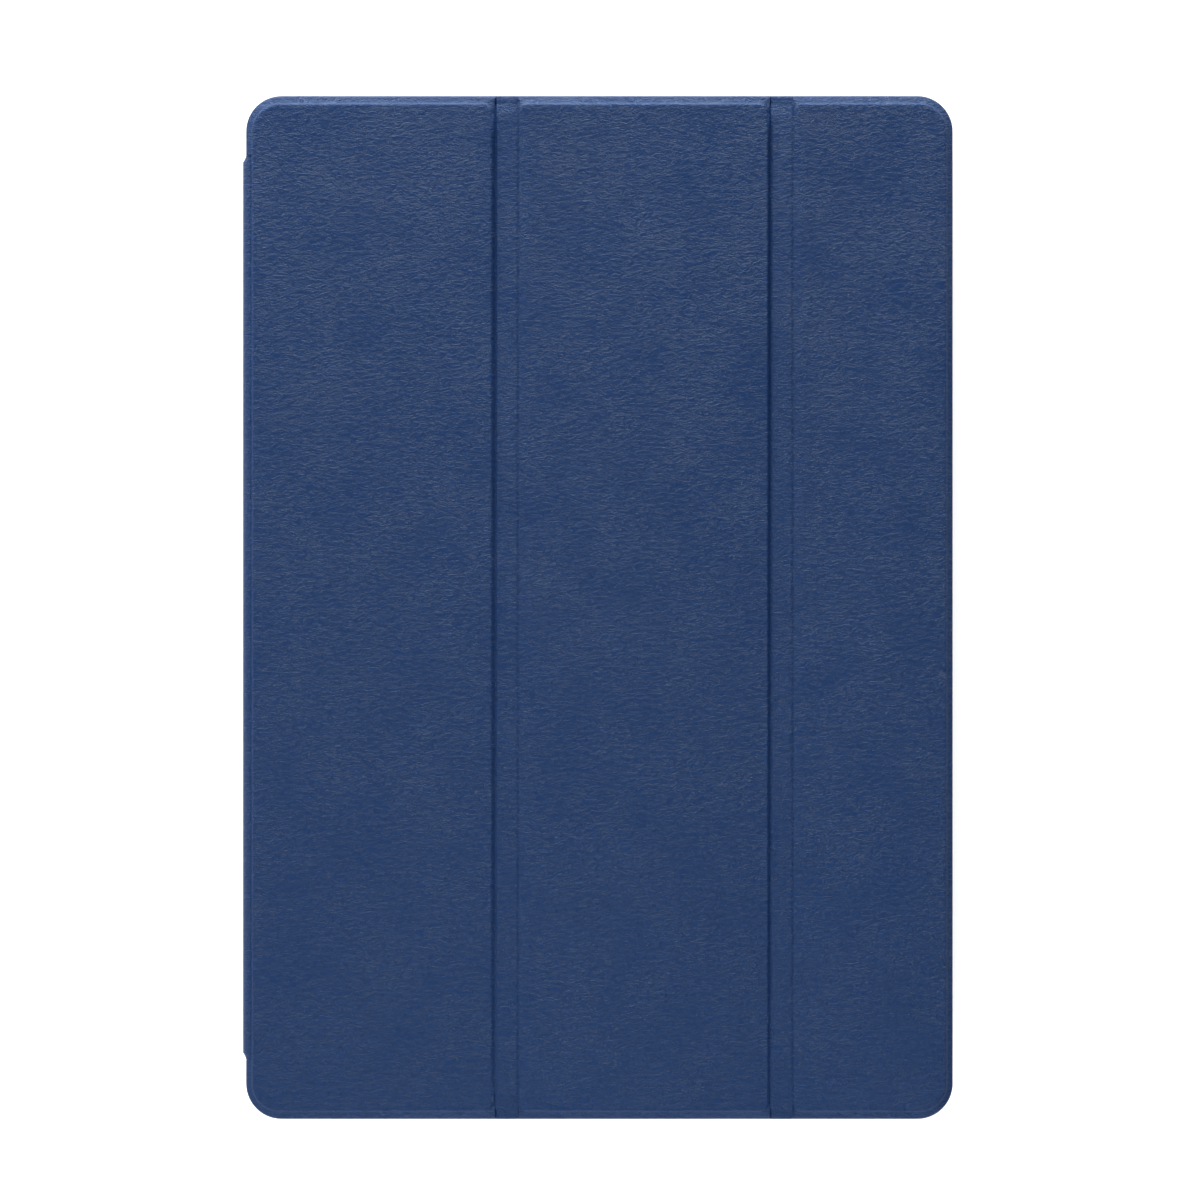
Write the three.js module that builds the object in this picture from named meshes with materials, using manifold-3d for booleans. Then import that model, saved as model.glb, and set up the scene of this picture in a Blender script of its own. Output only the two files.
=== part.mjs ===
// Tablet keyboard case: a three-panel folding leather cover, a plastic tray for a 10.5 inch tablet and a
// slim wireless keyboard held by magnets inside the cover.
// Frame in millimetres: the case lies closed on its back, +Z up out of the front cover, +Y along the long
// side towards the camera end, +X from the spine to the free edge. The origin is the centre of the
// footprint, on the ground.

import * as THREE from "three";
import { mergeVertices } from "three/addons/utils/BufferGeometryUtils.js";
import Module from "manifold-3d";

const wasm = await Module();
wasm.setup();

// Cover, in plan
const COVER_LEFT = -89.35; // edge of the cover beside the spine
const COVER_RIGHT = 90.25; // free edge
const COVER_HALF_LENGTH = 130;
const COVER_CORNER = 9;
const SIDE_BORDER = 1.8; // pressed border around the boards, long sides
const END_BORDER = 2.4; // pressed border, short sides
const RAISED_OUTER_CORNER = 6.8;
const RAISED_INNER_CORNER = 1.3;
const FOLD_1 = [-25.45, -20.65]; // soft strip between panels 1 and 2
const FOLD_2 = [44.65, 48.95]; // soft strip between panels 2 and 3
const RAISED_1 = [COVER_LEFT + SIDE_BORDER, -26.95];
const RAISED_2 = [-19.85, 43.15];
const RAISED_3 = [49.95, COVER_RIGHT - SIDE_BORDER];
const CUT_CORNER = 0.4; // corner of a leather or lining piece beside a fold

// Cover, through its thickness
const LINING_Z = [14.8, 15.3];
const BOND_Z = 15.35; // underside of the leather, over the glue line
const BORDER_TOP = 16.3;
const COVER_TOP = 17.3;
const LEATHER = 0.7;
const GLUE = 0.05; // gap between bonded layers
const EDGE_ROUND = 0.3; // rounding of the raised edges
const FOLD_GAP = 0.05; // a panel stops this far from a fold strip
const FOLD_DIP = 0.25; // grooves along the edges of a fold strip
const FOLD_SHOULDER = 0.8;
const KEYBOARD_MAGNET = { x: [-62, -54], y: [52, 92] };
const CLOSING_MAGNET = { x: [78, 84], y: [70, 86] };
const LINING_INSET = 0.6;
const BOARD_INSET = LEATHER + GLUE;

// Spine
const SPINE_OUT = -90.25; // outer face of the spine leather
const SPINE_HALF = 114.5; // half length of the spine
const SPINE_LEATHER = 0.55;
const SPINE_BOARD = 0.75;
const SPINE_LINING = 0.4;
const SPINE_Z = [2.45, 13.95];
const SPINE_END_CUT = 0.9; // slanted ends of the spine leather
const CREASE_RADIUS = 2.3;
const LOWER_CREASE = [-87.95, 2.35]; // centre of the bend at the back, X and Z
const UPPER_CREASE = [-88.0, 14.0]; // centre of the bend at the cover, X and Z
const CREASE_STEPS = 5;
const SPINE_NOTCH = [-87.95, 115]; // where the border of panel 1 gives way to the crease: X, half length

// Tray for the tablet: a soft frame round a hard back plate
const TRAY_X = [-87.85, 89.15];
const TRAY_HALF_LENGTH = 126.75;
const TRAY_CORNER = 11;
const TRAY_WALL = 1.3;
const TRAY_TOP = 8.6;
const LIP = 1.5; // how far the lip reaches in over the tablet
const LIP_UNDER = 7.8;
const PLATE_THICK = 1.5;
const PLATE_GAP = 0.05;
const TRAY_ROUND = [
  [0, 0.9],
  [0.35, 0.3],
  [1.1, 0],
]; // height and inset of the rounded back edge
const LIP_ROUND = 0.35;
const FLAP = [-87.9, -60]; // leather flap glued in a recess of the back plate
const FLAP_Z = [0.05, 0.55];
const FLAP_CORNER = 6;
const FLAP_RECESS_GAP = 0.5;
const RECESS_TOP = 0.7;
const CAMERA_WINDOW = { x: 74, y: 108, width: 14, length: 28 };
const SLOT_Z = [2.6, 6.8]; // height of the cut-outs in the frame
const PORT = { at: 0.65, width: 14 }; // charging port in the lower end
const SPEAKERS = { at: [-34, 35.3], width: 24, z: [3.4, 5.6] }; // at both ends
const VOLUME = { at: 86, width: 34 }; // volume keys in the right side
const POWER = { at: 62, width: 18 }; // power key in the upper end
const JACK = { at: -66, width: 8 }; // headphone socket in the upper end

// Keyboard, in its own frame: u to the typist's right, v away from the typist, w up out of the keys
const KB_CENTRE_X = 1.5;
const KB_BASE_Z = 14.05; // the underside of the base lies here, facing the cover lining
const KB_HALF_U = 121;
const KB_HALF_V = 82.5;
const KB_CORNER = 8;
const BASE_TOP = 0.7;
const DECK_BOTTOM = 0.75;
const DECK_UNDER = 3.1;
const DECK_TOP = 4.1;
const DECK_WALL = 1.2;
const DECK_ROUND = 0.5;
const CAP_TOP = 5.15;
const CAP_TAPER = 0.45;
const CAP_SHOULDER = 4.75;
const WEB_W = [2.5, 2.85]; // flange under the deck that keeps the keys in
const WEB_REACH = 0.7;
const KEY_GAP = 2.2; // between neighbouring caps
const WELL_GAP = 0.3; // between a cap and the edge of its well
const KEY_PITCH = 16.03;
const ROW_PITCH = 16.8;
const FUNCTION_PITCH = 12;
const KEYS_LEFT = -116.2;
const KEYS_FAR = 74.5;
const HALF_KEY_GAP = 1.6; // between the up and down keys
const SHEET_W = [0.75, 0.9];
const MEMBRANE_W = [0.95, 1.15];
const DOME_TOP = 1.45;
const DOME_RADIUS = 2.2;
const FOOT = { u: 106, v: 73, radius: 4.5, thick: 0.4, slope: 0.3, sides: 20 };
const SWITCH = { u: -70, window: 7, knob: 3.5, flange: 10.6, proud: 0.6 };
const PAIR_BUTTON = { u: 104, v: 77.9, width: 5, depth: 2.6 };
const LENS = { u: 92, v: 77.9, width: 2.6, depth: 1.2 };
const SWITCH_KNOB_W = [1.5, 2.6];
const SWITCH_WINDOW_W = [1.3, 2.8];
const SWITCH_FLANGE_W = [1.1, 2.9];
const SWITCH_FLANGE_V = [-1.7, -0.2]; // from the inner face of the far wall
const SWITCH_REST_GAP = 0.3; // between the knob and the end of its window
const BUTTON_PROUD = 0.5;
const BUTTON_FLANGE = 0.8;
const BUTTON_FLANGE_W = [2.3, 2.85];
const USB = { u: -95, width: 7.4, height: 2.2, depth: 6.6, wall: 0.3, low: 0.8 };
const USB_WINDOW = { side: 0.2, top: 3.05 };
const KEEPER = { u: [50, 94], v: [54.5, 64.5] }; // steel strips that the cover magnets hold
const BATTERY = { u: [18, 108], v: [-70, -32], w: [0.75, 2.5] };
const CIRCUIT = { u: [-108, -44], v: [-62, -34], w: [0.75, 1.55] };
const CHIPS = [
  { u: [-92, -83], v: [-52, -43], w: [1.45, 2.5] },
  { u: [-72, -66], v: [-56, -46], w: [1.45, 2.2] },
];
const PEG_HOLE = { u: 80, width: 3, depth: 2, inset: 3 }; // locating holes in the contact sheet
const SHEET_MARGIN = 3;

const FUNCTION_KEY = 14.5 / 14; // every row is 14.5 keys wide
const KEY_ROWS = [
  {
    pitch: FUNCTION_PITCH,
    blocks: [
      ["key_escape", [FUNCTION_KEY]],
      ["keys_function_row", Array(13).fill(FUNCTION_KEY)],
    ],
  },
  {
    pitch: ROW_PITCH,
    blocks: [
      ["keys_number_row", Array(13).fill(1)],
      ["key_backspace", [1.5]],
    ],
  },
  {
    pitch: ROW_PITCH,
    blocks: [
      ["key_tab", [1.5]],
      ["keys_upper_letters", Array(13).fill(1)],
    ],
  },
  {
    pitch: ROW_PITCH,
    blocks: [
      ["key_caps_lock", [1.75]],
      ["keys_home_letters", Array(11).fill(1)],
      ["key_enter", [1.75]],
    ],
  },
  {
    pitch: ROW_PITCH,
    blocks: [
      ["key_left_shift", [2.25]],
      ["keys_lower_letters", Array(10).fill(1)],
      ["key_right_shift", [2.25]],
    ],
  },
  {
    pitch: ROW_PITCH,
    blocks: [
      ["keys_left_modifiers", [1, 1, 1, 1.25]],
      ["key_space", [5]],
      ["keys_right_modifiers", [1.25, 1]],
      ["key_left_arrow", [1]],
      ["key_up_arrow", [1], "far"],
      ["key_down_arrow", [1], "near"],
      ["key_right_arrow", [1]],
    ],
  },
];

const LOOKS = {
  leather: { color: 0x304569, roughness: 0.6, metalness: 0 },
  lining: { color: 0x2b3038, roughness: 0.95, metalness: 0 },
  board: { color: 0x7a6a52, roughness: 0.9, metalness: 0 },
  hard_plastic: { color: 0x1d2636, roughness: 0.45, metalness: 0 },
  soft_plastic: { color: 0x222c3e, roughness: 0.6, metalness: 0 },
  steel: { color: 0x8d9096, roughness: 0.35, metalness: 1 },
  aluminium: { color: 0x24272b, roughness: 0.5, metalness: 0.6 },
  magnet: { color: 0xa9abb0, roughness: 0.3, metalness: 1 },
  deck: { color: 0x16181b, roughness: 0.55, metalness: 0 },
  keycap: { color: 0x1f2226, roughness: 0.5, metalness: 0 },
  rubber: { color: 0x101112, roughness: 0.9, metalness: 0 },
  silicone: { color: 0xb9bcc0, roughness: 0.7, metalness: 0 },
  film: { color: 0x9aa7a0, roughness: 0.3, metalness: 0 },
  circuit: { color: 0x1f5a3a, roughness: 0.5, metalness: 0 },
  cell: { color: 0x8b9096, roughness: 0.4, metalness: 0.5 },
  lens: { color: 0xd8e2ea, roughness: 0.15, metalness: 0 },
};

// A closed outline, anticlockwise from the corner at low X and low Y; radii in the order
// low-low, high-low, high-high, low-high.
function outline(x, y, radii, steps = 5) {
  const corners = [
    [x[0], y[0], 1, 1, Math.PI],
    [x[1], y[0], -1, 1, 1.5 * Math.PI],
    [x[1], y[1], -1, -1, 0],
    [x[0], y[1], 1, -1, 0.5 * Math.PI],
  ];
  return corners.flatMap(([cx, cy, sx, sy, from], i) => {
    const r = radii[i];
    if (r <= 0) return [new THREE.Vector2(cx, cy)];
    return Array.from({ length: steps + 1 }, (_, k) => {
      const a = from + (k / steps) * 0.5 * Math.PI;
      return new THREE.Vector2(cx + sx * r + r * Math.cos(a), cy + sy * r + r * Math.sin(a));
    });
  });
}

// The same outline drawn in by a distance.
function inset(x, y, radii, by, steps = 5) {
  const less = radii.map((r) => Math.max(r - by, r > 0 ? 0.2 : 0));
  return outline([x[0] + by, x[1] - by], [y[0] + by, y[1] - by], less, steps);
}

// A closed body through outlines of equal count at rising heights.
function stack(rings) {
  const count = rings[0].points.length;
  const position = rings.flatMap((ring) => ring.points.flatMap((p) => [p.x, p.y, ring.z]));
  const index = [];
  for (let k = 0; k + 1 < rings.length; k++) {
    for (let i = 0; i < count; i++) {
      const a = k * count + i;
      const b = k * count + ((i + 1) % count);
      index.push(a, b, b + count, a, b + count, a + count);
    }
  }
  const last = (rings.length - 1) * count;
  for (const [a, b, c] of THREE.ShapeUtils.triangulateShape(rings[0].points, [])) index.push(a, c, b);
  for (const [a, b, c] of THREE.ShapeUtils.triangulateShape(rings.at(-1).points, [])) {
    index.push(last + a, last + b, last + c);
  }
  const geometry = new THREE.BufferGeometry();
  geometry.setAttribute("position", new THREE.Float32BufferAttribute(position, 3));
  geometry.setIndex(index);
  return geometry;
}

// A flat plate with straight sides and holes.
function plate(points, z, holes = []) {
  const shape = new THREE.Shape(points);
  shape.holes = holes.map((hole) => new THREE.Path(hole));
  const geometry = new THREE.ExtrudeGeometry(shape, { depth: z[1] - z[0], bevelEnabled: false });
  return geometry.translate(0, 0, z[0]);
}

const mirrored = ([low, high]) => [-high, -low];
const centred = (at, size) => [at - size / 2, at + size / 2];
const rectangle = (x, y) => outline(x, y, [0, 0, 0, 0]);

function box(x, y, z) {
  const geometry = new THREE.BoxGeometry(x[1] - x[0], y[1] - y[0], z[1] - z[0]);
  return geometry.translate((x[0] + x[1]) / 2, (y[0] + y[1]) / 2, (z[0] + z[1]) / 2);
}

// A section drawn in X and Z, run along Y.
function alongY(section, y) {
  const geometry = new THREE.ExtrudeGeometry(new THREE.Shape(section), {
    depth: y[1] - y[0],
    bevelEnabled: false,
  });
  return geometry.rotateX(Math.PI / 2).translate(0, y[1], 0);
}

function solid(geometry) {
  const bare = geometry.clone();
  bare.deleteAttribute("normal");
  bare.deleteAttribute("uv");
  const merged = mergeVertices(bare, 1e-4);
  const mesh = new wasm.Mesh({
    numProp: 3,
    vertProperties: merged.attributes.position.array,
    triVerts: new Uint32Array(merged.index.array),
  });
  return new wasm.Manifold(mesh);
}

const join = (...pieces) => pieces.map(solid).reduce((a, b) => a.add(b));

function cut(body, ...tools) {
  return tools.map(solid).reduce((a, b) => a.subtract(b), body);
}

function surface(body) {
  const made = body.getMesh();
  const geometry = new THREE.BufferGeometry();
  geometry.setAttribute("position", new THREE.BufferAttribute(made.vertProperties, 3));
  geometry.setIndex(new THREE.BufferAttribute(made.triVerts, 1));
  const flat = geometry.toNonIndexed();
  flat.computeVertexNormals();
  return flat;
}

function add(parent, name, shape, look) {
  const geometry = shape.isBufferGeometry ? surface(solid(shape)) : surface(shape);
  const mesh = new THREE.Mesh(geometry, new THREE.MeshStandardMaterial(LOOKS[look]));
  mesh.name = name;
  parent.add(mesh);
  return mesh;
}

// ---- Cover panels ----
// Each panel is a leather face pressed down to a border around a stiff board, with a lining behind.
function addPanel(parent, name, edge, raised, corners, magnets = []) {
  const y = [-COVER_HALF_LENGTH, COVER_HALF_LENGTH];
  const raisedY = [y[0] + END_BORDER, y[1] - END_BORDER];
  const outer = corners.map((isOuter) => (isOuter ? COVER_CORNER : CUT_CORNER));
  const inner = corners.map((isOuter) => (isOuter ? RAISED_OUTER_CORNER : RAISED_INNER_CORNER));
  const border = stack([
    { points: inset(edge, y, outer, EDGE_ROUND / 2), z: BOND_Z },
    { points: outline(edge, y, outer), z: BOND_Z + EDGE_ROUND },
    { points: outline(edge, y, outer), z: BORDER_TOP - EDGE_ROUND },
    { points: inset(edge, y, outer, EDGE_ROUND / 2), z: BORDER_TOP },
  ]);
  const face = stack([
    { points: outline(raised, raisedY, inner), z: BOND_Z },
    { points: outline(raised, raisedY, inner), z: COVER_TOP - EDGE_ROUND },
    { points: inset(raised, raisedY, inner, EDGE_ROUND), z: COVER_TOP },
  ]);
  const pocket = stack([
    { points: inset(raised, raisedY, inner, LEATHER), z: BOND_Z - 1 },
    { points: inset(raised, raisedY, inner, LEATHER), z: COVER_TOP - LEATHER },
  ]);
  const notch = box([COVER_LEFT - 1, SPINE_NOTCH[0]], [-SPINE_NOTCH[1], SPINE_NOTCH[1]], [0, COVER_TOP]);
  const leather = cut(join(border, face), pocket, notch);
  add(parent, name + "_leather", leather, "leather");

  const boardZ = [BOND_Z, COVER_TOP - LEATHER - GLUE];
  const pockets = magnets.map(([, x, my]) => rectangle(x, my));
  const board = plate(inset(raised, raisedY, inner, BOARD_INSET), boardZ, pockets);
  add(parent, name + "_board", board, "board");
  for (const [magnetName, x, my] of magnets) {
    const body = box([x[0] + GLUE, x[1] - GLUE], [my[0] + GLUE, my[1] - GLUE], boardZ);
    add(parent, magnetName, body, "magnet");
  }

  const liningEdge = [
    edge[0] + (corners[0] ? LINING_INSET : 0),
    edge[1] - (corners[1] ? LINING_INSET : 0),
  ];
  const liningY = [y[0] + LINING_INSET, y[1] - LINING_INSET];
  const lining = plate(outline(liningEdge, liningY, outer), LINING_Z);
  add(parent, name + "_lining", cut(solid(lining), notch), "lining");
}

// The soft strip between two panels: leather with a shallow dip, and the lining behind it.
function addFold(parent, name, x) {
  const y = [-COVER_HALF_LENGTH, COVER_HALF_LENGTH];
  const section = [
    new THREE.Vector2(x[0], BOND_Z),
    new THREE.Vector2(x[1], BOND_Z),
    new THREE.Vector2(x[1], BORDER_TOP - FOLD_DIP),
    new THREE.Vector2(x[1] - FOLD_SHOULDER, BORDER_TOP),
    new THREE.Vector2(x[0] + FOLD_SHOULDER, BORDER_TOP),
    new THREE.Vector2(x[0], BORDER_TOP - FOLD_DIP),
  ];
  add(parent, name + "_leather", alongY(section, y), "leather");
  const liningY = [y[0] + LINING_INSET, y[1] - LINING_INSET];
  add(parent, name + "_lining", box(x, liningY, LINING_Z), "lining");
}

function addCover(parent) {
  const edge1 = [COVER_LEFT, FOLD_1[0] - FOLD_GAP];
  const edge2 = [FOLD_1[1] + FOLD_GAP, FOLD_2[0] - FOLD_GAP];
  const edge3 = [FOLD_2[1] + FOLD_GAP, COVER_RIGHT];
  addPanel(parent, "panel_1", edge1, RAISED_1, [true, false, false, true], [
    ["keyboard_magnet_upper", KEYBOARD_MAGNET.x, KEYBOARD_MAGNET.y],
    ["keyboard_magnet_lower", KEYBOARD_MAGNET.x, mirrored(KEYBOARD_MAGNET.y)],
  ]);
  addFold(parent, "fold_1", FOLD_1);
  addPanel(parent, "panel_2", edge2, RAISED_2, [false, false, false, false]);
  addFold(parent, "fold_2", FOLD_2);
  addPanel(parent, "panel_3", edge3, RAISED_3, [false, true, true, false], [
    ["closing_magnet_upper", CLOSING_MAGNET.x, CLOSING_MAGNET.y],
    ["closing_magnet_lower", CLOSING_MAGNET.x, mirrored(CLOSING_MAGNET.y)],
  ]);
}

// ---- Spine ----
function creaseSection(centre, from) {
  const arc = (radius, k) => {
    const a = from + (k / CREASE_STEPS) * 0.5 * Math.PI;
    return new THREE.Vector2(centre[0] + radius * Math.cos(a), centre[1] + radius * Math.sin(a));
  };
  const steps = Array.from({ length: CREASE_STEPS + 1 }, (_, k) => k);
  const outside = steps.map((k) => arc(CREASE_RADIUS, k));
  const inside = steps.map((k) => arc(CREASE_RADIUS - SPINE_LEATHER, k)).reverse();
  return [...outside, ...inside];
}

function addSpine(parent) {
  const y = [-SPINE_HALF, SPINE_HALF];
  const leatherIn = SPINE_OUT + SPINE_LEATHER;
  const boardX = [leatherIn + GLUE, leatherIn + GLUE + SPINE_BOARD];
  const liningX = [boardX[1] + GLUE, boardX[1] + GLUE + SPINE_LINING];
  const slanted = [
    new THREE.Vector2(SPINE_OUT, y[0] + SPINE_END_CUT),
    new THREE.Vector2(leatherIn, y[0]),
    new THREE.Vector2(leatherIn, y[1]),
    new THREE.Vector2(SPINE_OUT, y[1] - SPINE_END_CUT),
  ];
  add(parent, "spine_leather", plate(slanted, SPINE_Z), "leather");
  const inner = [y[0] + 1.5, y[1] - 1.5];
  add(parent, "spine_board", box(boardX, inner, [SPINE_Z[0] + 0.2, SPINE_Z[1] - 0.2]), "board");
  add(parent, "spine_lining", box(liningX, inner, [SPINE_Z[0] + 0.2, SPINE_Z[1] - 0.2]), "lining");
  const upper = alongY(creaseSection([UPPER_CREASE[0] + GLUE, UPPER_CREASE[1]], 0.5 * Math.PI), y);
  add(parent, "upper_crease_strip", upper, "leather");
  const lower = alongY(creaseSection([LOWER_CREASE[0], LOWER_CREASE[1]], Math.PI), y);
  add(parent, "lower_crease_strip", lower, "leather");
}

// ---- Tray ----
function addTray(parent) {
  const y = [-TRAY_HALF_LENGTH, TRAY_HALF_LENGTH];
  const radii = [TRAY_CORNER, TRAY_CORNER, TRAY_CORNER, TRAY_CORNER];
  const outer = stack([
    ...TRAY_ROUND.map(([z, by]) => ({ points: inset(TRAY_X, y, radii, by), z })),
    { points: outline(TRAY_X, y, radii), z: TRAY_TOP - LIP_ROUND },
    { points: inset(TRAY_X, y, radii, LIP_ROUND), z: TRAY_TOP },
  ]);
  const bay = stack([
    { points: inset(TRAY_X, y, radii, TRAY_WALL), z: -1 },
    { points: inset(TRAY_X, y, radii, TRAY_WALL), z: LIP_UNDER },
  ]);
  const mouth = stack([
    { points: inset(TRAY_X, y, radii, TRAY_WALL + LIP), z: LIP_UNDER - 1 },
    { points: inset(TRAY_X, y, radii, TRAY_WALL + LIP), z: TRAY_TOP + 1 },
  ]);
  const flapRun = box([TRAY_X[0] - 1, TRAY_X[0] + 2], [-SPINE_NOTCH[1], SPINE_NOTCH[1]], [-1, RECESS_TOP]);
  const reach = TRAY_WALL + LIP + 1;
  const lowerEnd = [y[0] - 1, y[0] + reach];
  const upperEnd = [y[1] - reach, y[1] + 1];
  const slots = [
    box(centred(PORT.at, PORT.width), lowerEnd, SLOT_Z),
    ...SPEAKERS.at.map((x) => box(centred(x, SPEAKERS.width), lowerEnd, SPEAKERS.z)),
    ...SPEAKERS.at.map((x) => box(centred(x, SPEAKERS.width), upperEnd, SPEAKERS.z)),
    box(centred(POWER.at, POWER.width), upperEnd, SLOT_Z),
    box(centred(JACK.at, JACK.width), upperEnd, SLOT_Z),
    box([TRAY_X[1] - reach, TRAY_X[1] + 1], centred(VOLUME.at, VOLUME.width), SLOT_Z),
  ];
  const frame = cut(solid(outer), bay, mouth, flapRun, ...slots);
  add(parent, "bumper_frame", frame, "soft_plastic");

  const plateInset = TRAY_WALL + PLATE_GAP;
  const { x, y: cy, width, length } = CAMERA_WINDOW;
  const round = [width / 2, width / 2, width / 2, width / 2];
  const camera = outline(centred(x, width), centred(cy, length), round);
  const back = plate(inset(TRAY_X, y, radii, plateInset), [0, PLATE_THICK], [camera]);
  const recessX = [TRAY_X[0] - 1, FLAP[1] + FLAP_RECESS_GAP];
  const recessHalf = SPINE_NOTCH[1];
  const recess = plate(
    outline(recessX, [-recessHalf, recessHalf], [0, FLAP_CORNER, FLAP_CORNER, 0]),
    [-1, RECESS_TOP],
  );
  add(parent, "back_plate", cut(solid(back), recess), "hard_plastic");
  const flap = plate(
    outline(FLAP, [-SPINE_HALF, SPINE_HALF], [0, FLAP_CORNER, FLAP_CORNER, 0]),
    FLAP_Z,
  );
  add(parent, "spine_flap", flap, "leather");
}

// ---- Keyboard ----
// Every key as its cap outline, with the block that it belongs to.
function layOutKeys() {
  const blocks = [];
  let far = KEYS_FAR;
  for (const { pitch, blocks: row } of KEY_ROWS) {
    let left = KEYS_LEFT;
    for (const [name, widths, half] of row) {
      if (half === "near") left -= KEY_PITCH;
      const caps = widths.map((units) => {
        const u = [left + KEY_GAP / 2, left + units * KEY_PITCH - KEY_GAP / 2];
        const v = [far - pitch + KEY_GAP / 2, far - KEY_GAP / 2];
        const middle = (v[0] + v[1]) / 2;
        if (half === "far") v[0] = middle + HALF_KEY_GAP / 2;
        if (half === "near") v[1] = middle - HALF_KEY_GAP / 2;
        left += units * KEY_PITCH;
        return { u, v };
      });
      blocks.push({ name, caps, half });
    }
    far -= pitch;
  }
  return blocks;
}

function grown({ u, v }, by) {
  return { u: [u[0] - by, u[1] + by], v: [v[0] - by, v[1] + by] };
}

function keyBlock({ caps, half }) {
  const reach = half ? HALF_KEY_GAP / 4 : WEB_REACH;
  const first = caps[0];
  const web = grown({ u: [first.u[0], caps.at(-1).u[1]], v: first.v }, reach);
  const bodies = caps.map(({ u, v }) =>
    stack([
      { points: rectangle(u, v), z: WEB_W[0] + 0.1 },
      { points: rectangle(u, v), z: CAP_SHOULDER },
      { points: inset(u, v, [0, 0, 0, 0], CAP_TAPER), z: CAP_TOP },
    ]),
  );
  return join(box(web.u, web.v, WEB_W), ...bodies);
}

function dome({ u, v }) {
  const short = Math.min(v[1] - v[0], u[1] - u[0]);
  const radius = Math.min(DOME_RADIUS, short / 3);
  const height = DOME_TOP - MEMBRANE_W[1] + 0.1;
  const cone = new THREE.CylinderGeometry(radius * 0.6, radius, height, 6);
  cone.rotateX(Math.PI / 2);
  return cone.translate((u[0] + u[1]) / 2, (v[0] + v[1]) / 2, DOME_TOP - height / 2);
}

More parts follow.
